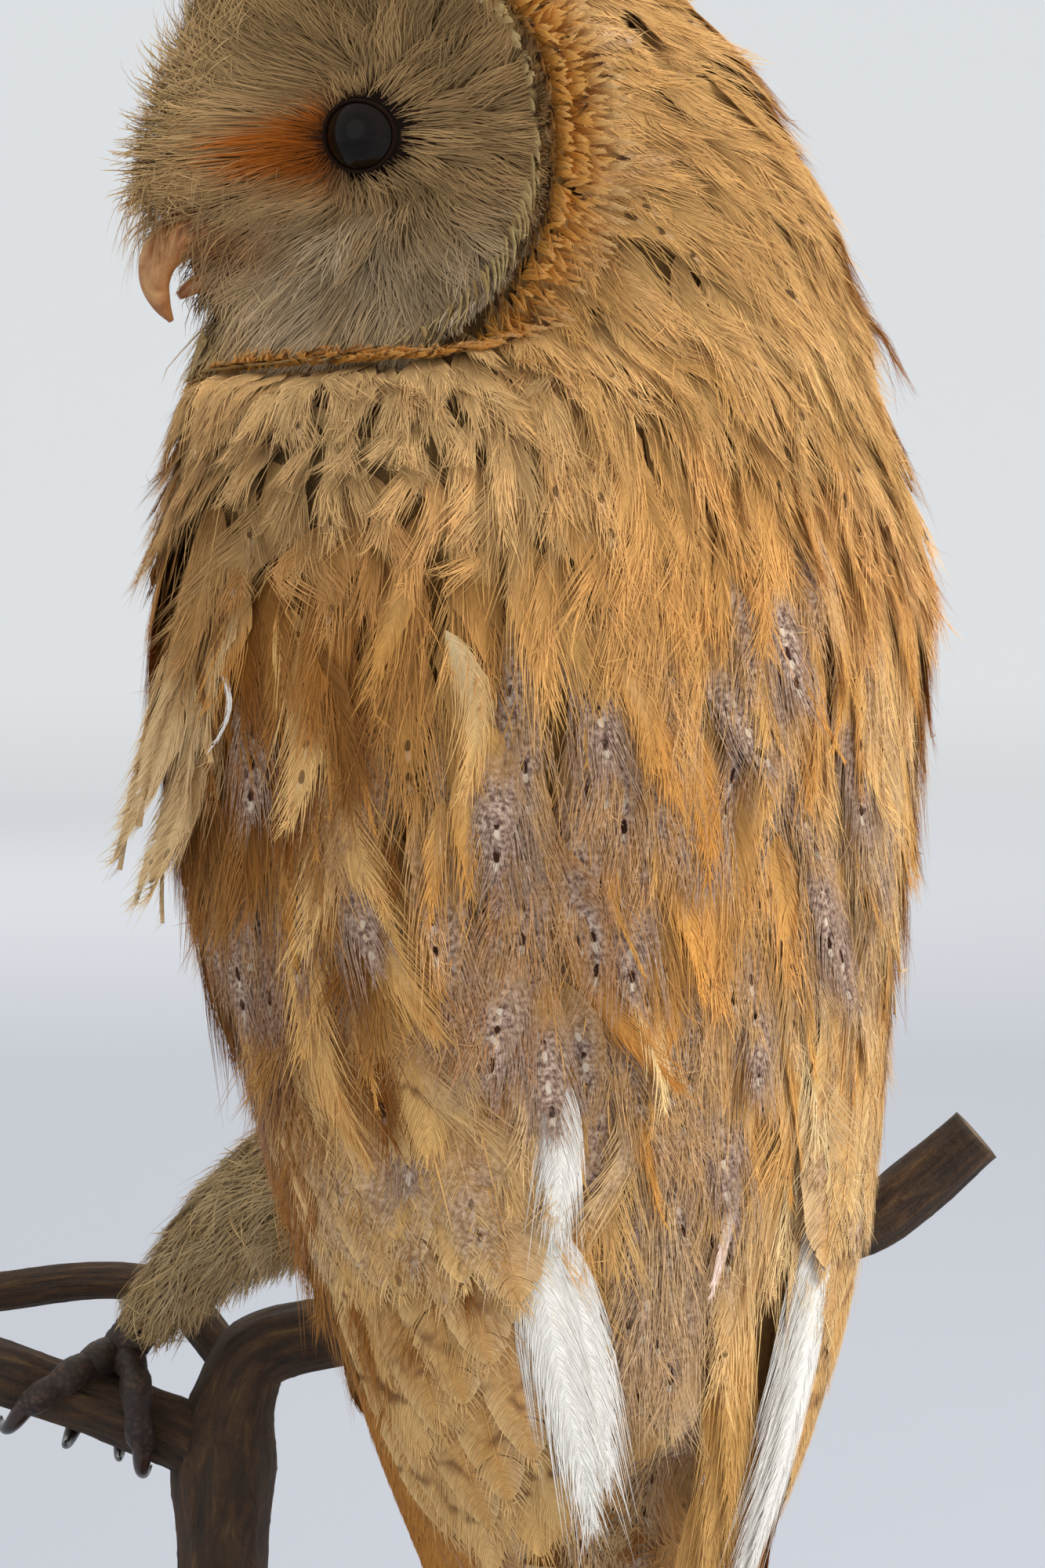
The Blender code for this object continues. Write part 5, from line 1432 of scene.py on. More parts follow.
for side in (1, -1):
    phi = rng.uniform(0, 2 * math.pi, H)
    rho = np.sqrt(rng.uniform(0.0, 1.0, H)) * 60.0
    l = side * EYE_SIDE + rho * np.cos(phi) * side
    u = rho * np.sin(phi)
    turn = np.degrees(np.arctan2(l, u))
    ok = (np.hypot(l, u) < ruff_radius(turn) * 0.97) & (l * side > -0.8) & (rho > 6.25)
    ok &= ~((np.abs(l) < 4.8) & (u < -11) & (u > -31))
    l, u, rho, phi = l[ok], u[ok], rho[ok], phi[ok]
    n = len(l)
    # locks: hairs of one small cell share a swing, a lift and a tone, and draw together
    lw, uw = l + 1.3 * np.sin(u / 3.3 + 0.7), u + 1.3 * np.sin(l / 2.9 + 0.4)
    size = 2.9
    ci, cj = np.floor(lw / size), np.floor(uw / size)
    r1, r2, r3, r4, r5 = (lock(ci, cj, k) for k in range(1, 6))
    cl = (ci + 0.25 + 0.5 * r1) * size - 1.3 * np.sin(u / 3.3 + 0.7)
    cu = (cj + 0.25 + 0.5 * r2) * size - 1.3 * np.sin(l / 2.9 + 0.4)
    ang = np.arctan2(u, (l * side - EYE_SIDE)) + (r3 - 0.5) * 0.75 + rng.normal(0, 0.10, n)
    dl, du = np.cos(ang) * side, np.sin(ang)
    ridge = np.exp(-(l / 7.0) ** 2) * smooth(-np.abs(u + 2), -46, -30)
    dl = dl * (1 - ridge) + side * (0.25 + 0.3 * rng.normal(0, 1, n)) * ridge
    du = du * (1 - ridge) + np.clip((u + 4.0) / 28.0, -1, 1) * 0.85 * ridge + rng.normal(0, 0.12, n) * ridge
    Lh = np.clip(4.2 + 0.42 * (rho - 6.0), 4.2, 12.5) * rng.uniform(0.7, 1.2, n)
    room = ruff_radius(np.degrees(np.arctan2(l, u))) * 1.0 - np.hypot(l, u) + 2.2
    Lh = np.minimum(Lh, np.maximum(3.0, room))
    far = rng.rand(n) < 0.30                              # the sparse long ones that make the soft outline
    Lr = np.where(far, rng.uniform(8.0, 15.0, n), rng.uniform(5.0, 9.0, n))
    Lh = Lh * (1 - ridge) + Lr * ridge
    stand = np.where(far, rng.uniform(0.30, 0.72, n), rng.uniform(0.05, 0.28, n)) * ridge
    lift = np.where(rho < 11, 0.7, 0.7 + 2.3 * r4) * rng.uniform(0.6, 1.3, n)
    Q = 5
    s = np.linspace(0, 1, Q)[None]
    draw = 0.5 * s ** 2 * (1 - ridge[:, None])
    wob = rng.normal(0, 0.35, (n, 1)) * np.sin(s * 3.0)
    bend = (r5[:, None] - 0.5) * 2.2 * s ** 2
    ll = (l[:, None] * (1 - draw) + cl[:, None] * draw) + dl[:, None] * s * Lh[:, None] - du[:, None] * (wob + bend)
    uu = (u[:, None] * (1 - draw) + cu[:, None] * draw) + du[:, None] * s * Lh[:, None] + dl[:, None] * (wob + bend)
    ff = face_forward(ll, uu)
    ff = np.maximum(ff, ff[:, :1] - 7.0 * s) - 0.8 + lift[:, None] * np.sin(s * 1.9)
    ff = ff + stand[:, None] * Lh[:, None] * s * (1.1 - 0.25 * s) + (np.clip((9.6 - rho) / 3.2, 0, 1) * np.where(np.abs(l) < EYE_SIDE, 2.2, 3.0))[:, None] * (1 - 0.5 * s)
    path = head_point(ff, ll, uu)
    jl, ju = rng.normal(0, 0.9, (n, 1)), rng.normal(0, 0.9, (n, 1))
    rust, dark, strands, gape = face_fields(ll + jl, uu + ju, side)
    c = np.broadcast_to(lin(176, 142, 96), (n, Q, 3))
    c = lerp(c, lin(150, 118, 74), smooth(u, 2, 26)[:, None] * np.clip(0.7 + 0.3 * np.sin(l / 5.0), 0, 1)[:, None] * (1 - ridge[:, None]) * np.ones((1, Q)))
    c = lerp(c, lin(178, 152, 116), smooth(-u, 6, 22)[:, None] * np.ones((1, Q)))
    pale = smooth(-u, 4, 18) * smooth(np.abs(l), 28.0, 38.0) + 0.7 * smooth(-u, 8, 16) * bump(np.abs(l), 16.0, 14.0)
    c = lerp(c, lin(226, 208, 178), (pale * (r5 > 0.45) * 0.75)[:, None] * s)
    c = lerp(c, lin(216, 182, 128), np.clip(ridge * 0.9, 0, 1)[:, None] * (0.4 + 0.6 * s))
    c = lerp(c, lin(132, 84, 40), np.clip(gape, 0, 1) * 0.8)
    c = lerp(c, RUST * 0.86, np.clip(rust * 2.4, 0, 1))
    c = c * (1 + 0.22 * smooth(np.abs(l), 27.0, 36.0) * (1 - smooth(-u, 6, 16)))[:, None, None]
    c = lerp(c, lin(58, 32, 17), np.clip(dark, 0, 1) * 0.92)
    c = lerp(c, lin(74, 54, 38), np.clip(strands, 0, 1) * (r3 > 0.35)[:, None] * 0.85)
    tone = (0.70 + 0.42 * r2) * rng.uniform(0.86, 1.12, n)
    col = c * tone[:, None, None] * (0.72 + 0.42 * s[..., None])
    slope = (face_forward(l + 0.5, u) - face_forward(l - 0.5, u)), (face_forward(l, u + 0.5) - face_forward(l, u - 0.5))
    out = unit(FACE[None] - np.clip(slope[0], -2, 2)[:, None] * CHEEK[None] - np.clip(slope[1], -2, 2)[:, None] * UP[None])
    hairs(face, out[:, None, :], path, rng.uniform(0.11, 0.23, n), np.minimum(col, 0.9), rng.rand(n))
# bristles over the root of the bill
for side in (1, -1):
    n = 240
    l = side * np.abs(rng.normal(0, 3.2, n))
    u = rng.uniform(-17, -4, n)
    s = np.linspace(0, 1, 6)[None]
    L = rng.uniform(6, 15, n)
    f0 = face_forward(l, u) - 1.0
    fwd, out_, dn = rng.uniform(0.25, 0.75, (n, 1)), rng.uniform(0.0, 0.45, (n, 1)), rng.uniform(0.3, 1.0, (n, 1))
    ff = f0[:, None] + L[:, None] * (fwd * s - 0.25 * s ** 2) + 0.2
    ll = l[:, None] + side * (L[:, None] * out_ * s * (1 - 0.4 * s))
    uu = u[:, None] - L[:, None] * (0.15 * s + 0.75 * dn * s ** 2)
    c = lerp(np.broadcast_to(lin(214, 182, 132), (n, 3)), RUST, 0.25 * rng.rand(n)) * rng.uniform(0.65, 1.12, (n, 1))
    hairs(face, np.broadcast_to(FACE, (n, 1, 3)), head_point(ff, ll, uu), rng.uniform(0.16, 0.34, n), c[:, None, :] * (0.75 + 0.35 * s[..., None]), rng.rand(n))
print("face", round(time.time() - STARTED, 1))

# ------------------------------------------------------------------ ruff: stiff small feathers set round the disc
ruff = Coat("plumage_ruff")


def ruff_row(count, rho0, rho1, f0, f1, out, half, base_c, tip_c, mid_c, spots, lean, jitter):
    """A ring of stiff feathers; rho in parts of the ruff's radius, f in mm ahead of its rim."""
    turn = (np.arange(count) + rng.uniform(-0.3, 0.3, count)) * 360.0 / count
    turn = turn[np.abs((turn + 180.0) % 360.0 - 180.0) > 9.0]
    count = len(turn)
    K = 5
    t = np.linspace(0, 1, K + 1)[None]
    th = np.radians(turn[:, None] + lean * t * 6.0 + rng.normal(0, 2.0, (count, 1)) * t)
    rr = ruff_radius(np.degrees(th))
    rho = rr * (rho0 + (rho1 - rho0) * t) + out * np.sin(math.pi * np.clip(t, 0, 1) * 0.5) + rng.normal(0, jitter, (count, 1)) * t
    f = ruff_forward(np.degrees(th)) + f0 + (f1 - f0) * t ** 1.2 + rng.normal(0, jitter, (count, 1)) * t
    P = head_point(f, rho * np.sin(th), rho * np.cos(th))
    low = np.abs((turn + 180.0) % 360.0 - 180.0) > 100.0
    if low.any():
        sag = np.exp(-((np.abs((turn[low] + 180.0) % 360.0 - 180.0) - 152.0) / 26.0) ** 2)[:, None, None]
        P[low] = P[low] - UP * float(np.interp(out, [0.3, 0.8, 1.6, 2.3, 2.8, 3.0], [2.6, 4.4, 7.4, 8.8, 9.6, 10.0])) * sag + FACE * 1.0 * sag
        flat = P[low].reshape(-1, 3)
        near, nr = coat.nearest(flat)
        h = ((flat - near) * nr).sum(1)
        need = np.broadcast_to(0.8 + (2.0 + 0.35 * out) * t, P[low].shape[:2]).reshape(-1)
        P[low] = (flat + nr * np.maximum(0, need - h)[:, None]).reshape(P[low].shape)
    T = np.gradient(P, axis=1)
    tang = unit(np.cos(th)[..., None] * CHEEK - np.sin(th)[..., None] * UP)
    n = unit(np.cross(tang, T))
    n = n * np.sign((n * (FACE + 0.6 * (np.sin(th)[..., None] * CHEEK + np.cos(th)[..., None] * UP))).sum(-1, keepdims=True))
    L = np.linalg.norm(np.diff(P, axis=1), axis=2).sum(1)
    base = np.broadcast_to(base_c, (count, 3)) * rng.uniform(0.8, 1.15, (count, 1))
    tip = lerp(np.broadcast_to(tip_c, (count, 3)), mid_c, rng.rand(count) * 0.8)
    dark = (rng.rand(count) < spots)[:, None]
    tip = np.where(dark, DARK * rng.uniform(0.8, 1.8, (count, 1)), tip)
    paint = painter(base, tip, tip * 1.1, vary=0.3, low=0.45, high=0.95)
    zero = np.zeros(count)
    plume(ruff, P, n, L, np.full(count, half), paint, marker(zero, zero, zero), rng.rand(count), rows=3, panels=1, t0=0.05, sweep=1.4, camber=0.45, fluff=0.06, rough=0.1,
          blunt=2.4, rachis=0.1, hair=0.95, hair_w=0.14, fray=0.3)


ruff_row(230, 0.885, 1.05, 1.4, 2.8, 0.3, 1.2, lin(170, 142, 92), lin(226, 206, 154), lin(196, 166, 112), 0.12, 0.7, 0.35)
ruff_row(260, 0.95, 1.055, -0.4, 0.6, 0.8, 1.0, lin(84, 58, 34), lin(200, 146, 76), lin(120, 74, 34), 0.40, 0.4, 0.3)
ruff_row(390, 0.975, 1.06, -1.2, -2.6, 1.6, 0.72, lin(200, 138, 54), lin(230, 170, 86), lin(240, 196, 124), 0.06, 0.2, 0.34)
ruff_row(390, 0.975, 1.06, -2.8, -5.4, 2.3, 0.72, lin(198, 136, 54), lin(226, 166, 82), lin(236, 190, 118), 0.05, 0.1, 0.40)
ruff_row(370, 0.97, 1.055, -4.6, -8.6, 2.8, 0.78, lin(200, 142, 66), lin(224, 172, 98), lin(236, 194, 130), 0.04, 0.1, 0.55)
ruff_row(250, 0.96, 1.04, -7.0, -12.0, 2.9, 1.0, lin(204, 156, 92), lin(222, 180, 118), lin(232, 196, 140), 0.02, 0.1, 0.8)
print("ruff", round(time.time() - STARTED, 1))

wisps = Coat("plumage_wisps")
r = spread(coat, 16000, lambda p: (zone_head(p) | zone_neck(p) | (zone_mantle(p) & (p[:, 2] > 196)) | zone_breast(p)) & (p[:, 2] > 150), lambda p: np.full(len(p), 2.3), 16)
loc, nor = coat.nearest(r)
hd = turned(r, flow(r), 26.0 * wave(r, 8.0, 0.3) + rng.normal(0, 13.0, len(r)))
L = rng.uniform(7.0, 15.0, len(r))
pts, nn = lay(r, hd, L, 5, coat, flow_pull=0.6)
s6 = np.linspace(0, 1, 6)[None, :, None]
pts = pts + nn * (-0.6 + (1.5 + 1.3 * rng.rand(len(r), 1, 1)) * s6 ** 0.8) + rng.normal(0, 0.9, (len(r), 1, 3)) * s6 ** 2
tone_ = plumage_at(r) * rng.uniform(0.85, 1.3, (len(r), 1))
hairs(wisps, nor[:, None, :], pts, rng.uniform(0.14, 0.28, len(r)), np.minimum(tone_[:, None, :] * (0.8 + 0.35 * s6), 0.9), rng.rand(len(r)))
print("wisps", len(r), round(time.time() - STARTED, 1))

for piece in (small, neck, mantle, breast, legs, wings, tail, special, face, ruff, wisps):
    made = piece.build()
    pieces += made
    print(piece.name, [len(o.data.polygons) * 2 for o in made])


# ------------------------------------------------------------------ tubes, for toes, claws, lids and branch
def tube(stations, step, sides, shape=None, cap=3, twist_ref=(0, 0, 1)):
    """Rings along an eased line of (x, y, z, r). shape(theta, along_mm, r) gives radii. Returns verts, quads, tris, along, theta."""
    st = np.array(stations, float)
    chord = np.concatenate([[0], np.cumsum(np.linalg.norm(np.diff(st[:, :3], axis=0), axis=1))])
    tab = np.concatenate([chord[:, None], st], 1)
    n = max(4, int(chord[-1] / step))
    at = np.linspace(0, chord[-1], n + 1)
    line = eased(tab, at)
    p, r = line[:, :3], line[:, 3]
    T = unit(np.gradient(p, axis=0))
    ref = np.array(twist_ref, float)
    A = np.zeros_like(p)
    a = ref - T[0] * (ref @ T[0])
    if np.linalg.norm(a) < 1e-3:
        a = np.array([1.0, 0, 0]) - T[0] * T[0][0]
    for k in range(len(p)):
        a = a - T[k] * (a @ T[k])
        a = a / np.linalg.norm(a)
        A[k] = a
    B = np.cross(T, A)
    ends = []
    if cap:
        q = np.sin(np.linspace(0, math.pi / 2, cap + 1))[1:]
    th = np.linspace(0, 2 * math.pi, sides, endpoint=False)
    R = r[:, None] * np.ones(sides)[None]
    if shape is not None:
        R = shape(th[None, :], at[:, None], r[:, None])
    V = p[:, None] + (A[:, None] * np.cos(th)[None, :, None] + B[:, None] * np.sin(th)[None, :, None]) * R[..., None]
    along = np.broadcast_to(at[:, None], R.shape)
    rows = len(p)
    verts = [V.reshape(-1, 3)]
    j, k = np.meshgrid(np.arange(rows - 1), np.arange(sides), indexing="ij")
    k2 = (k + 1) % sides
    quads_ = np.stack([j * sides + k, j * sides + k2, (j + 1) * sides + k2, (j + 1) * sides + k], -1).reshape(-1, 4)
    tips = np.array([p[0] - T[0] * r[0] * 0.25 * bool(cap), p[-1] + T[-1] * r[-1] * 0.6 * bool(cap)])
    verts.append(tips)
    base = rows * sides
    kk = np.arange(sides)
    tris_ = np.concatenate([np.stack([np.full(sides, base), (kk + 1) % sides, kk], -1),
                            np.stack([np.full(sides, base + 1), (rows - 1) * sides + kk, (rows - 1) * sides + (kk + 1) % sides], -1)])
    al = np.concatenate([along.ravel(), [0.0, chord[-1]]])
    tt = np.concatenate([np.broadcast_to(th[None], R.shape).ravel(), [0.0, 0.0]])
    return np.concatenate(verts), quads_, tris_, al, tt


def merged(parts):
    v, q, t, extra, base = [], [], [], [], 0
    for p in parts:
        v.append(p[0]); q.append(p[1] + base); t.append(p[2] + base); extra.append(np.stack([p[3], p[4]], -1))
        base += len(p[0])
    return np.concatenate(v), np.concatenate(q), np.concatenate(t), np.concatenate(extra)


def simple_uv(along, theta):
    return np.stack([theta / (2 * math.pi), along / max(1e-6, along.max())], -1)


# ------------------------------------------------------------------ eyes: a bulging glass dome on a barrel
def eye(side):
    look = FACE * math.cos(EYE_SPLAY) + CHEEK * side * math.sin(EYE_SPLAY)
    mid = HEAD_MID + CHEEK * side * EYE_SIDE
    a = unit(np.cross(UP, look)); b = np.cross(look, a)
    dome = 7.9
    prof, tone = [], []
    for k in range(23):
        r = 6.3 * math.sin(k / 22 * math.pi / 2)
        h = math.sqrt(dome * dome - r * r) - math.sqrt(dome * dome - 6.3 * 6.3)
        prof.append((r, h - 0.2))
        tone.append(lin(3, 2, 2) if r < 3.9 else (lin(16, 9, 6) if r < 5.6 else lin(6, 4, 3)))
    prof += [(6.5, -1.0), (6.9, -4.0), (7.0, -9.0), (6.0, -14.0), (0.0, -16.5)]
    tone += [lin(14, 9, 8)] * 5
    M = 56
    th = np.linspace(0, 2 * math.pi, M, endpoint=False)
    rr = np.array([p[0] for p in prof]); hh = np.array([p[1] for p in prof])
    V = mid + hh[:, None, None] * look + rr[:, None, None] * (a * np.cos(th)[None, :, None] + b * np.sin(th)[None, :, None])
    j, k = np.meshgrid(np.arange(len(prof) - 1), np.arange(M), indexing="ij")
    k2 = (k + 1) % M
    q = np.stack([j * M + k, (j + 1) * M + k, (j + 1) * M + k2, j * M + k2], -1).reshape(-1, 4)
    col = np.repeat(np.array(tone), M, 0)
    o = mesh_object("glass_eye_" + ("left" if side > 0 else "right"), V.reshape(-1, 3), q, None, EYE, {"tint": ("FLOAT_COLOR", col)},
                    np.stack([0.5 + V.reshape(-1, 3) @ a * 0, 0.5 + V.reshape(-1, 3) @ a * 0], -1) + np.stack([(rr[:, None] * np.cos(th)).ravel(), (rr[:, None] * np.sin(th)).ravel()], -1) / 15.0)
    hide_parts("eye_" + ("left" if side > 0 else "right"))
    return o, mid, look, a, b


for side in (1, -1):
    o, mid, look, a, b = eye(side)
    pieces.append(o)
    # lids: an upper and a lower fold that cut across the round of the eye, thickest at the corners
    parts = []
    for up, drop in ((1, 5.75), (-1, 6.1)):
        th = np.linspace(-0.12, math.pi + 0.12, 15)
        r = 6.45
        x = r * np.cos(th)
        y = up * drop * np.sin(th)
        st = []
        for xx, yy, tt in zip(x, y, th):
            rad = math.hypot(xx, yy)
            h = math.sqrt(max(0.5, 7.9 ** 2 - min(rad, 6.5) ** 2)) - math.sqrt(7.9 ** 2 - 6.3 ** 2) + 0.15
            p = mid + a * xx + b * yy + look * h
            st.append((*p, 0.30 + 0.12 * abs(math.cos(tt)) ** 2))
        parts.append(tube(st, 0.45, 10, cap=1))
    v, q, t, ex = merged(parts)
    wr = 0.8 + 0.35 * np.sin(ex[:, 0] * 5.0) * np.sin(ex[:, 1] * 3)
    lids = mesh_object("eyelids_" + ("left" if side > 0 else "right"), v, q, t, SKIN, {"tint": ("FLOAT_COLOR", lin(44, 24, 14) * wr[:, None])}, simple_uv(ex[:, 0], ex[:, 1]))
    pieces.append(lids)
    th = np.linspace(0, 2 * math.pi, 48, endpoint=False)
    lc, uc = side * EYE_SIDE + 6.9 * np.cos(th), 6.9 * np.sin(th)
    outer = head_point(face_forward(lc, uc) - 0.7, lc, uc)
    ca, sa = np.cos(th), np.sin(th)
    e1 = unit((CHEEK - look * (CHEEK @ look))[None])[0]
    e2 = np.cross(look, e1); e2 = e2 * np.sign(e2 @ UP)
    inner_ = mid + e1 * 6.2 * ca[:, None] + e2 * 6.2 * sa[:, None] + look * 0.15
    rings = [inner_ * (1 - w_) + outer * w_ + look * 0.3 * math.sin(math.pi * w_) for w_ in (0.0, 0.25, 0.5, 0.75, 1.0)]
    V = np.concatenate(rings)
    jj, kk = np.meshgrid(np.arange(4), np.arange(48), indexing="ij")
    qd = np.stack([jj * 48 + kk, jj * 48 + (kk + 1) % 48, (jj + 1) * 48 + (kk + 1) % 48, (jj + 1) * 48 + kk], -1).reshape(-1, 4)
    if side < 0:
        qd = qd[:, ::-1]
    shades = np.repeat(np.array([lin(20, 11, 7), lin(26, 15, 9), lin(32, 19, 11), lin(40, 24, 14), lin(52, 32, 19)]), 48, 0)
    collar = mesh_object("eye_collar_" + ("left" if side > 0 else "right"), V, qd, None, SKIN, {"tint": ("FLOAT_COLOR", shades)},
                         np.stack([np.tile(th / 6.3, 5), np.repeat(np.linspace(0, 1, 5), 48)], -1))
    pieces.append(collar)

# ------------------------------------------------------------------ bill
UPPER = ((12, -14, 4.4, 4.2), (19, -15.3, 4.4, 4.2), (24.2, -17.4, 4.0, 3.8), (27.4, -20.6, 3.3, 3.2), (28.3, -24.4, 2.5, 2.5), (27.2, -28.2, 1.5, 1.6),
         (25.4, -31.2, 0.4, 0.45))
LOWER = ((10, -22.5, 3.4, 2.0), (16, -23.6, 3.3, 1.9), (20.6, -25, 2.5, 1.6), (24, -27, 0.8, 0.7))


def bill(stations, name, node, n, upper):
    st = np.array(stations, float)
    chord = np.concatenate([[0], np.cumsum(np.linalg.norm(np.diff(st[:, :2], axis=0), axis=1))])
    at = np.linspace(0, chord[-1], n)
    line = eased(np.concatenate([chord[:, None], st], 1), at)
    f, u, hw, hh = (line[:, k] for k in range(4))
    T = np.gradient(np.stack([f, u], -1), axis=0)
    T /= np.linalg.norm(T, axis=1, keepdims=True)
    Nf, Nu = -T[:, 1], T[:, 0]                        # towards the culmen
    M = 40
    th = np.linspace(0, 2 * math.pi, M, endpoint=False)
    c, s = np.cos(th), np.sin(th)
    e = 0.86
    lat = np.sign(s) * np.abs(s) ** e
    ver = np.sign(c) * np.abs(c) ** (e if upper else 1.0)
    along = at / chord[-1]
    ridge = 1 + 0.10 * np.exp(-((th[None, :] - 0) ** 2) / 0.05) + 0.10 * np.exp(-((th[None, :] - 2 * math.pi) ** 2) / 0.05)
    groove = 1 - (0.13 * np.exp(-((np.abs(np.abs(th[None, :] - math.pi) - 1.75)) / 0.16) ** 2) * np.exp(-((along[:, None] - 0.36) / 0.06) ** 2) if upper else 0)
    cere = 1 + (0.06 * smooth(-along[:, None], -0.42, -0.34) if upper else 0)
    R = ridge * groove * cere
    L = hw[:, None] * lat[None] * R
    V2 = hh[:, None] * ver[None] * R
    P = head_point(f[:, None] + Nf[:, None] * V2, L, u[:, None] + Nu[:, None] * V2)
    j, k = np.meshgrid(np.arange(n - 1), np.arange(M), indexing="ij")
    k2 = (k + 1) % M
    q = np.stack([j * M + k, j * M + k2, (j + 1) * M + k2, (j + 1) * M + k], -1).reshape(-1, 4)
    verts = np.concatenate([P.reshape(-1, 3), P[0].mean(0)[None], P[-1].mean(0)[None]])
    kk = np.arange(M)
    t = np.concatenate([np.stack([np.full(M, n * M), (kk + 1) % M, kk], -1), np.stack([np.full(M, n * M + 1), (n - 1) * M + kk, (n - 1) * M + (kk + 1) % M], -1)])
    w = np.repeat(along, M)
    col = lerp(np.broadcast_to(lin(206, 150, 104), (len(w), 3)), lin(214, 190, 156), smooth(w, 0.25, 0.6))
    col = lerp(col, lin(150, 96, 62), smooth(w, 0.78, 1.0) * 0.6)
    dark = np.exp(-((np.abs(np.tile(np.abs(th - math.pi), n) - 1.75)) / 0.12) ** 2) * np.exp(-((w - 0.36) / 0.05) ** 2) if upper else 0 * w
    col = lerp(col, lin(60, 36, 26), dark)
    col = np.concatenate([col, col[:1], col[-1:]])
    uv = np.stack([np.tile(th / (2 * math.pi), n), w], -1)
    uv = np.concatenate([uv, uv[:1], uv[-1:]])
    o = mesh_object(name, verts, q, t, HORN, {"tint": ("FLOAT_COLOR", col)}, uv)
    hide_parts(node)
    return o


pieces.append(bill(UPPER, "bill_upper_horn", "bill_upper", 60, True))
pieces.append(bill(LOWER, "bill_lower_horn", "bill_lower", 30, False))

# ------------------------------------------------------------------ branch
LIMB_MAIN = ((22.5, -78.5, 22.35, 10.5), (22.5, -78.5, 32.0, 9.2), (24.5, -79.5, 60.0, 8.3), (26.5, -80.0, 90.0, 8.0), (26.2, -79.6, 112.0, 8.3),
             (26.0, -79.3, 128.0, 9.6), (24.0, -78.2, 140.0, 7.4), (20.0, -76.2, 148.5, 7.0), (7.2, -69.5, 152.5, 7.0), (-8.0, -61.5, 155.5, 6.6),
             (-25.0, -52.4, 159.0, 6.2), (-45.0, -41.8, 163.5, 6.0), (-63.0, -32.2, 167.5, 5.8), (-79.0, -23.7, 172.5, 5.7), (-88.0, -18.9, 180.0, 5.6),
             (-97.4, -13.9, 189.5, 5.4))
LIMB_LEFT = ((24.0, -78.4, 124.0, 6.0), (31.0, -82.2, 131.5, 6.6), (38.5, -86.2, 135.2, 6.4), (45.8, -90.1, 138.3, 6.2), (54.0, -94.4, 141.2, 6.1),
             (62.6, -99.0, 144.6, 6.3), (74.0, -105.0, 149.0, 5.9), (84.0, -110.3, 154.0, 5.6))
LIMB_TWIG = ((22.5, -79.5, 143.0, 3.6), (24.5, -89.0, 150.0, 3.9), (27.0, -102.0, 155.8, 3.7), (37.0, -110.5, 157.2, 3.6), (54.0, -119.5, 155.0, 3.5),
             (66.0, -125.8, 152.8, 3.4), (77.0, -131.5, 153.5, 3.2))


def bark_shape(seed):
    def shape(th, at, r):
        rid = np.sin(th * 9 + 2.2 * np.sin(at / 17.0 + seed) + seed) * 0.018 + np.sin(th * 17 + at / 5.5 + seed * 2) * 0.010
        rid = rid + np.sin(th * 31 + at / 9.0 + 2.0 * np.sin(at / 4.0)) * 0.006
        lump = 0.035 * np.sin(th * 2 + at / 13.0 + seed) + 0.03 * np.sin(at / 7.0 + 3 * np.cos(th) + seed)
        knot = 0.16 * np.exp(-(((at - 38.0 - 6 * seed) / 4.5) ** 2 + ((np.angle(np.exp(1j * (th - 4.2 - seed)))) / 0.5) ** 2))
        knot = knot + 0.12 * np.exp(-(((at - 88.0 - 5 * seed) / 4.0) ** 2 + ((np.angle(np.exp(1j * (th - 1.2 - seed)))) / 0.45) ** 2))
        rings = 0.014 * np.maximum(0, np.sin(at * 1.15 + 1.5 * np.sin(th * 2) + seed)) ** 6
        return r * (1 + rid + lump + knot * (r > 4.5) + rings)
    return shape


parts = [tube(LIMB_MAIN, 1.0, 60, bark_shape(0.3), cap=0), tube(LIMB_LEFT, 1.0, 52, bark_shape(1.4), cap=0), tube(LIMB_TWIG, 1.0, 40, bark_shape(2.6), cap=0)]
v, q, t, ex = merged(parts)
n_each = [len(p[0]) for p in parts]
cutw = np.zeros(len(v))
base = 0
for p in parts:                                      # the sawn or broken ends show bare wood
    cutw[base + len(p[0]) - 1] = 1.0
    cutw[base + len(p[0]) - 2] = 1.0
    base += len(p[0])
fxv = np.stack([np.cos(ex[:, 1]) * 3.4, np.sin(ex[:, 1]) * 3.4, ex[:, 0] * 0.09], -1)
wood = mesh_object("branch_bark", v, q, t, BARK, {"tint": ("FLOAT_COLOR", np.repeat(cutw[:, None], 3, 1)), "fx": ("FLOAT_VECTOR", fxv)}, simple_uv(ex[:, 0], ex[:, 1]))
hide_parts("branch")
pieces.append(wood)


# ------------------------------------------------------------------ feet and claws
def perch_frame(stations, at):
    st = np.array(stations, float)
    i = int(at)
    a, b = st[i, :3], st[i + 1, :3]
    mid = a + (b - a) * (at - i)
    radius = st[i, 3] + (st[i + 1, 3] - st[i, 3]) * (at - i)
    before, after = st[max(i - 1, 0), :3], st[min(i + 2, len(st) - 1), :3]
    along = unit(b - a + (after - before) * 0.5)
    up = unit(UP - along * along[2])
    ahead = np.cross(along, up)
    if ahead[1] > 0:
        ahead = -ahead
    return mid, radius, along, up, ahead


def toe_run(frame_, start, end, sweep, lift, thick, steps):
    mid, radius, along, up, ahead = frame_
    run = []
    for k in range(steps + 1):
        t = k / steps
        a = math.radians(sweep[0] + (sweep[1] - sweep[0]) * t)
        r = thick[0] + (thick[1] - thick[0]) * t + 0.5 * math.sin(3 * math.pi * t) ** 2
        out = radius + r + 0.45 + lift * math.sin(math.pi * t) ** 2 + 0.6 * (1 - t)
        p = mid + along * (start + (end - start) * t) + (up * math.cos(a) + ahead * math.sin(a)) * out
        run.append((*p, r))
    return run


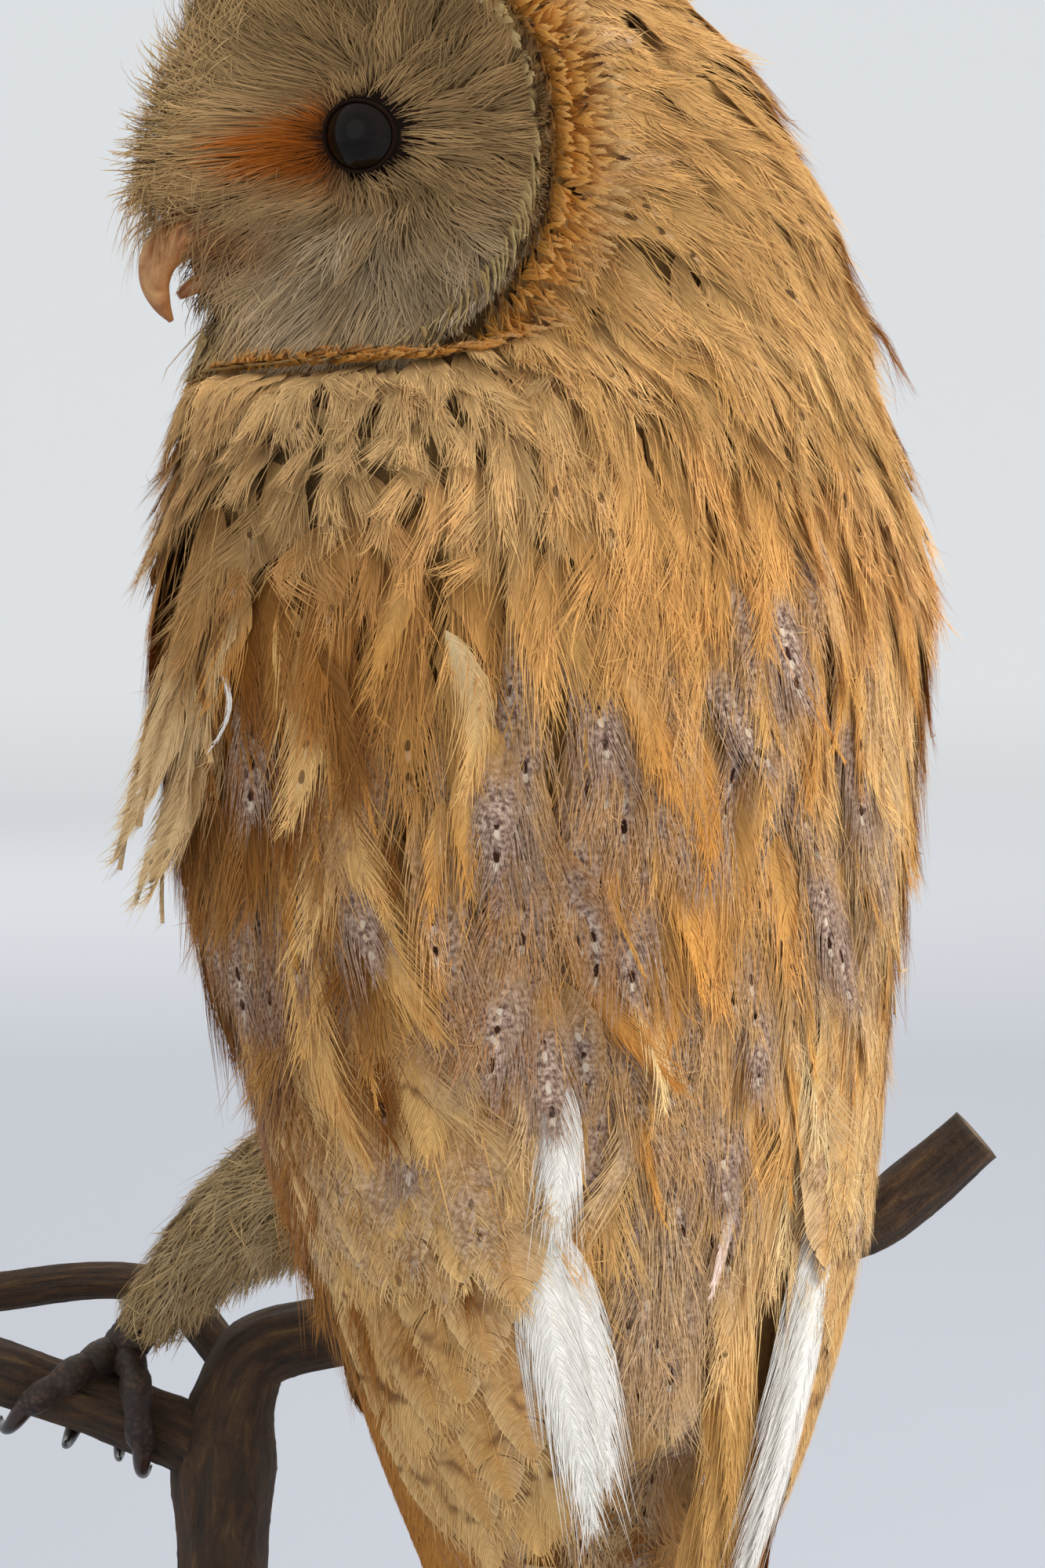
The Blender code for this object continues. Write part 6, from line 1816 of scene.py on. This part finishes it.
def claw_run(frame_, start, end, sweep, thick, length):
    mid, radius, along, up, ahead = frame_
    run, steps = [], 7
    out0 = radius + thick[1] + 0.45
    turn = math.degrees(length / (radius + 2.0)) * (1 if sweep[1] > sweep[0] else -1)
    skip = math.degrees(0.3 / out0) * (1 if turn > 0 else -1)
    for k in range(steps + 1):
        t = k / steps
        a = math.radians(sweep[1] + skip + turn * t)
        r = 1.8 * (1 - t) ** 0.8 + 0.22
        out = out0 * (1 - t) + (radius + 2.2) * t + 1.1 * math.sin(math.pi * t)
        p = mid + along * (end + (end - start) * 0.3 * t) + (up * math.cos(a) + ahead * math.sin(a)) * out
        run.append((*p, r))
    return run


FEET = {
    "left": (LIMB_LEFT, 3.0, LEG_LEFT, ((-0.5, -9.5, (-3, -108), 3.2, (3.0, 2.3), 11.0), (-0.8, -5.0, (4, 104), 0.0, (2.9, 2.3), 11.5),
                                        (0.4, 3.5, (5, 112), 0.0, (3.0, 2.3), 12.5), (0.8, 13.5, (-5, -104), 0.0, (3.0, 2.3), 12.0))),
    "right": (LIMB_MAIN, 10.0, LEG_RIGHT, ((-0.5, -9.5, (-3, -104), 1.2, (3.0, 2.3), 11.0), (-0.8, -5.0, (4, 104), 0.0, (2.9, 2.3), 11.5),
                                           (0.4, 3.5, (5, 112), 0.0, (3.0, 2.3), 12.5), (0.8, 12.5, (-5, -104), 0.0, (3.0, 2.3), 12.0))),
}


def scale_shape(th, at, r):
    """Scutes across the top of a toe and pads under it."""
    top = np.clip(np.cos(th), 0, 1)
    scute = 0.07 * np.abs(np.sin(at * 1.7)) ** 0.6 * top
    pad = 0.10 * np.maximum(0, np.sin(at * 0.62 + 0.6)) * np.clip(-np.cos(th), 0, 1)
    grain = 0.03 * np.sin(th * 9 + at * 2.0) * np.sin(at * 3.1)
    return r * (0.95 + scute + pad + grain)


for side, (perch, at, leg, toes) in FEET.items():
    fr = perch_frame(perch, at)
    mid, radius, along, up, ahead = fr
    ankle, above = np.array(leg[-1][:3], float), np.array(leg[-2][:3], float)
    down = unit(ankle - above)
    pad = mid + up * (radius + 4.1)
    parts = [tube([(*(ankle - down * 6.0), 4.4), (*ankle, 4.3), (*(ankle + (pad - ankle) * 0.5), 4.1), (*(pad - up * 0.8), 4.2), (*(pad - up * 2.4), 2.6)], 0.5, 28, scale_shape)]
    for k, (start, end, sweep, lift, thick, claw) in enumerate(toes, 1):
        run = toe_run(fr, start, end, sweep, lift, thick, 9)
        parts.append(tube(run, 0.45, 26, scale_shape, twist_ref=up))
        cl = claw_run(fr, start, end, sweep, thick, claw)
        cv, cq, ct, ca, cth = tube(cl, 0.45, 20, cap=2)
        tone = lerp(np.broadcast_to(lin(70, 52, 44), (len(cv), 3)), lin(26, 20, 20), smooth(ca, 0, ca.max() * 0.6))
        co_ = mesh_object(f"talon_{side}_{k}", cv, cq, ct, CLAW, {"tint": ("FLOAT_COLOR", tone)}, simple_uv(ca, cth))
        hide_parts(f"claw_{side}_{k}")
        pieces.append(co_)
    v, q, t, ex = merged(parts)
    foot = mesh_object(f"toes_{side}", v, q, t, TOES, None, simple_uv(ex[:, 0], ex[:, 1]))
    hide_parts("foot_" + side)
    pieces.append(foot)

# ------------------------------------------------------------------ base
prof = np.array([(0.0, 0.0), (60.0, 0.0), (91.4, 0.0), (93.0, 0.5), (93.8, 1.4), (94.0, 2.4), (94.0, 8.0), (93.7, 9.4), (92.6, 10.4), (90.8, 11.0), (89.6, 11.4), (88.0, 12.4), (86.4, 14.0),
                 (85.0, 16.4), (84.0, 19.0), (83.5, 20.4), (82.8, 21.4), (81.6, 21.9), (80.0, 22.0), (60.0, 22.0), (30.0, 22.0), (0.0, 22.0)])
M = 160
th = np.linspace(0, 2 * math.pi, M, endpoint=False)
V = np.stack([prof[:, 0:1] * np.cos(th), prof[:, 0:1] * np.sin(th) - BACK, np.broadcast_to(prof[:, 1:2], (len(prof), M))], -1)
j, k = np.meshgrid(np.arange(len(prof) - 1), np.arange(M), indexing="ij")
k2 = (k + 1) % M
q = np.stack([j * M + k, j * M + k2, (j + 1) * M + k2, (j + 1) * M + k], -1).reshape(-1, 4)
buv = np.stack([0.5 + 0.5 * np.cos(th)[None] * prof[:, 0:1] / 94.0 * 0.49, 0.5 + 0.5 * np.sin(th)[None] * prof[:, 0:1] / 94.0], -1)
buv[..., 0] = np.where((np.arange(len(prof)) > 10)[:, None], 0.26 + 0.24 * np.cos(th)[None] * prof[:, 0:1] / 94.0, 0.74 + 0.24 * np.cos(th)[None] * prof[:, 0:1] / 94.0)
stand = mesh_object("base_turned", V.reshape(-1, 3), q, None, WOOD, None, buv.reshape(-1, 2))
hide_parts("stand_base")
pieces.append(stand)


# ------------------------------------------------------------------ studio
rim = np.array([(0.0, 0.0), (0.6, 0.0), (1.9, 0.0)] + [(1.9 + 1.5 * math.sin(k / 12 * math.pi / 2), 1.1 * (1 - math.cos(k / 12 * math.pi / 2))) for k in range(1, 13)])
M = 96
th = np.linspace(0, 2 * math.pi, M, endpoint=False)
V = np.stack([rim[:, 0:1] * np.cos(th), rim[:, 0:1] * np.sin(th), np.broadcast_to(rim[:, 1:2], (len(rim), M))], -1).reshape(-1, 3)
fme = bpy.data.meshes.new("studio_floor")
fme.from_pydata([tuple(p) for p in V], [], [(j * M + k, (j + 1) * M + k, (j + 1) * M + (k + 1) % M, j * M + (k + 1) % M) for j in range(len(rim) - 1) for k in range(M)])
fme.shade_smooth()
floor = link(bpy.data.objects.new("studio_floor", fme))
fm, fnt, fsh = nodes_of("studio_floor")
fxyz = split(fnt, object_coords(fnt))
away_ = maths(fnt, "POWER", maths(fnt, "ADD", maths(fnt, "MULTIPLY", fxyz[0], fxyz[0]), maths(fnt, "MULTIPLY", fxyz[1], fxyz[1])), 0.5)
# the floor grows paler with distance from the bird, from about 1.2 m out to 2.3 m: painted light that makes up for the
# lamps' falloff on the far floor and the bowl's wall
painted_falloff_light = maths(fnt, "ADD", maths(fnt, "MULTIPLY_ADD", away_, 0.9, -1.08, clamp=True), maths(fnt, "MULTIPLY", noise(fnt, object_coords(fnt), 3.0, 1.0), 0.03), clamp=True)
fnt.links.new(mix(fnt, painted_falloff_light, (0.47, 0.50, 0.57), (0.86, 0.905, 0.96)), fsh.inputs["Base Color"])
fsh.inputs["Roughness"].default_value = 0.85
floor.data.materials.append(fm)
staged = [floor]


def area(name, at, target, size, power, colour=(1, 1, 1)):
    data = bpy.data.lights.new(name, "AREA")
    data.shape, data.size, data.energy, data.color = "DISK", size, power, colour
    o = link(bpy.data.objects.new(name, data))
    o.location = at
    o.rotation_euler = (Vector(target) - Vector(at)).to_track_quat("-Z", "Y").to_euler()
    staged.append(o)
    return o


area("key_light", (-0.95, 1.05, 1.15), (0.0, 0.02, 0.24), 0.9, 21.0, (1.0, 0.985, 0.96))
area("fill_light", (1.35, 0.55, 0.65), (0.0, 0.02, 0.22), 1.2, 1.6, (0.95, 0.97, 1.0))
area("front_light", (-0.5, -1.5, 0.9), (0.0, 0.0, 0.22), 1.4, 3.6, (1.0, 0.98, 0.94))
area("top_light", (-0.2, 0.1, 1.7), (0.0, 0.0, 0.2), 1.0, 4.0, (1.0, 1.0, 1.0))
w = bpy.data.worlds.new("studio_world")
w.use_nodes = True
bg = w.node_tree.nodes["Background"]
bg.inputs[0].default_value = (0.95, 0.925, 0.88, 1)
bg.inputs[1].default_value = 0.80
bpy.context.scene.world = w
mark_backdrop(*staged)

cam = bpy.data.cameras.new("camera")
cam.lens, cam.sensor_width, cam.sensor_fit = 119.9, 36.0, "AUTO"
cam.clip_start, cam.clip_end = 0.05, 20.0
cobj = link(bpy.data.objects.new("camera", cam))
cobj.location = (0.42337, 0.81660, 0.37168)
cobj.rotation_euler = (Vector((0.0040, 0.0279, 0.2620)) - cobj.location).to_track_quat("-Z", "Y").to_euler()
bpy.context.scene.camera = cobj
bpy.context.scene.view_settings.view_transform = "Standard"

VISUAL_BOX = [list(v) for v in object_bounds()]
print("boxes", CAD_BOX, VISUAL_BOX, "triangles", sum(len(o.data.polygons) * 2 for o in pieces), round(time.time() - STARTED, 1))
print("done", round(time.time() - STARTED, 1))
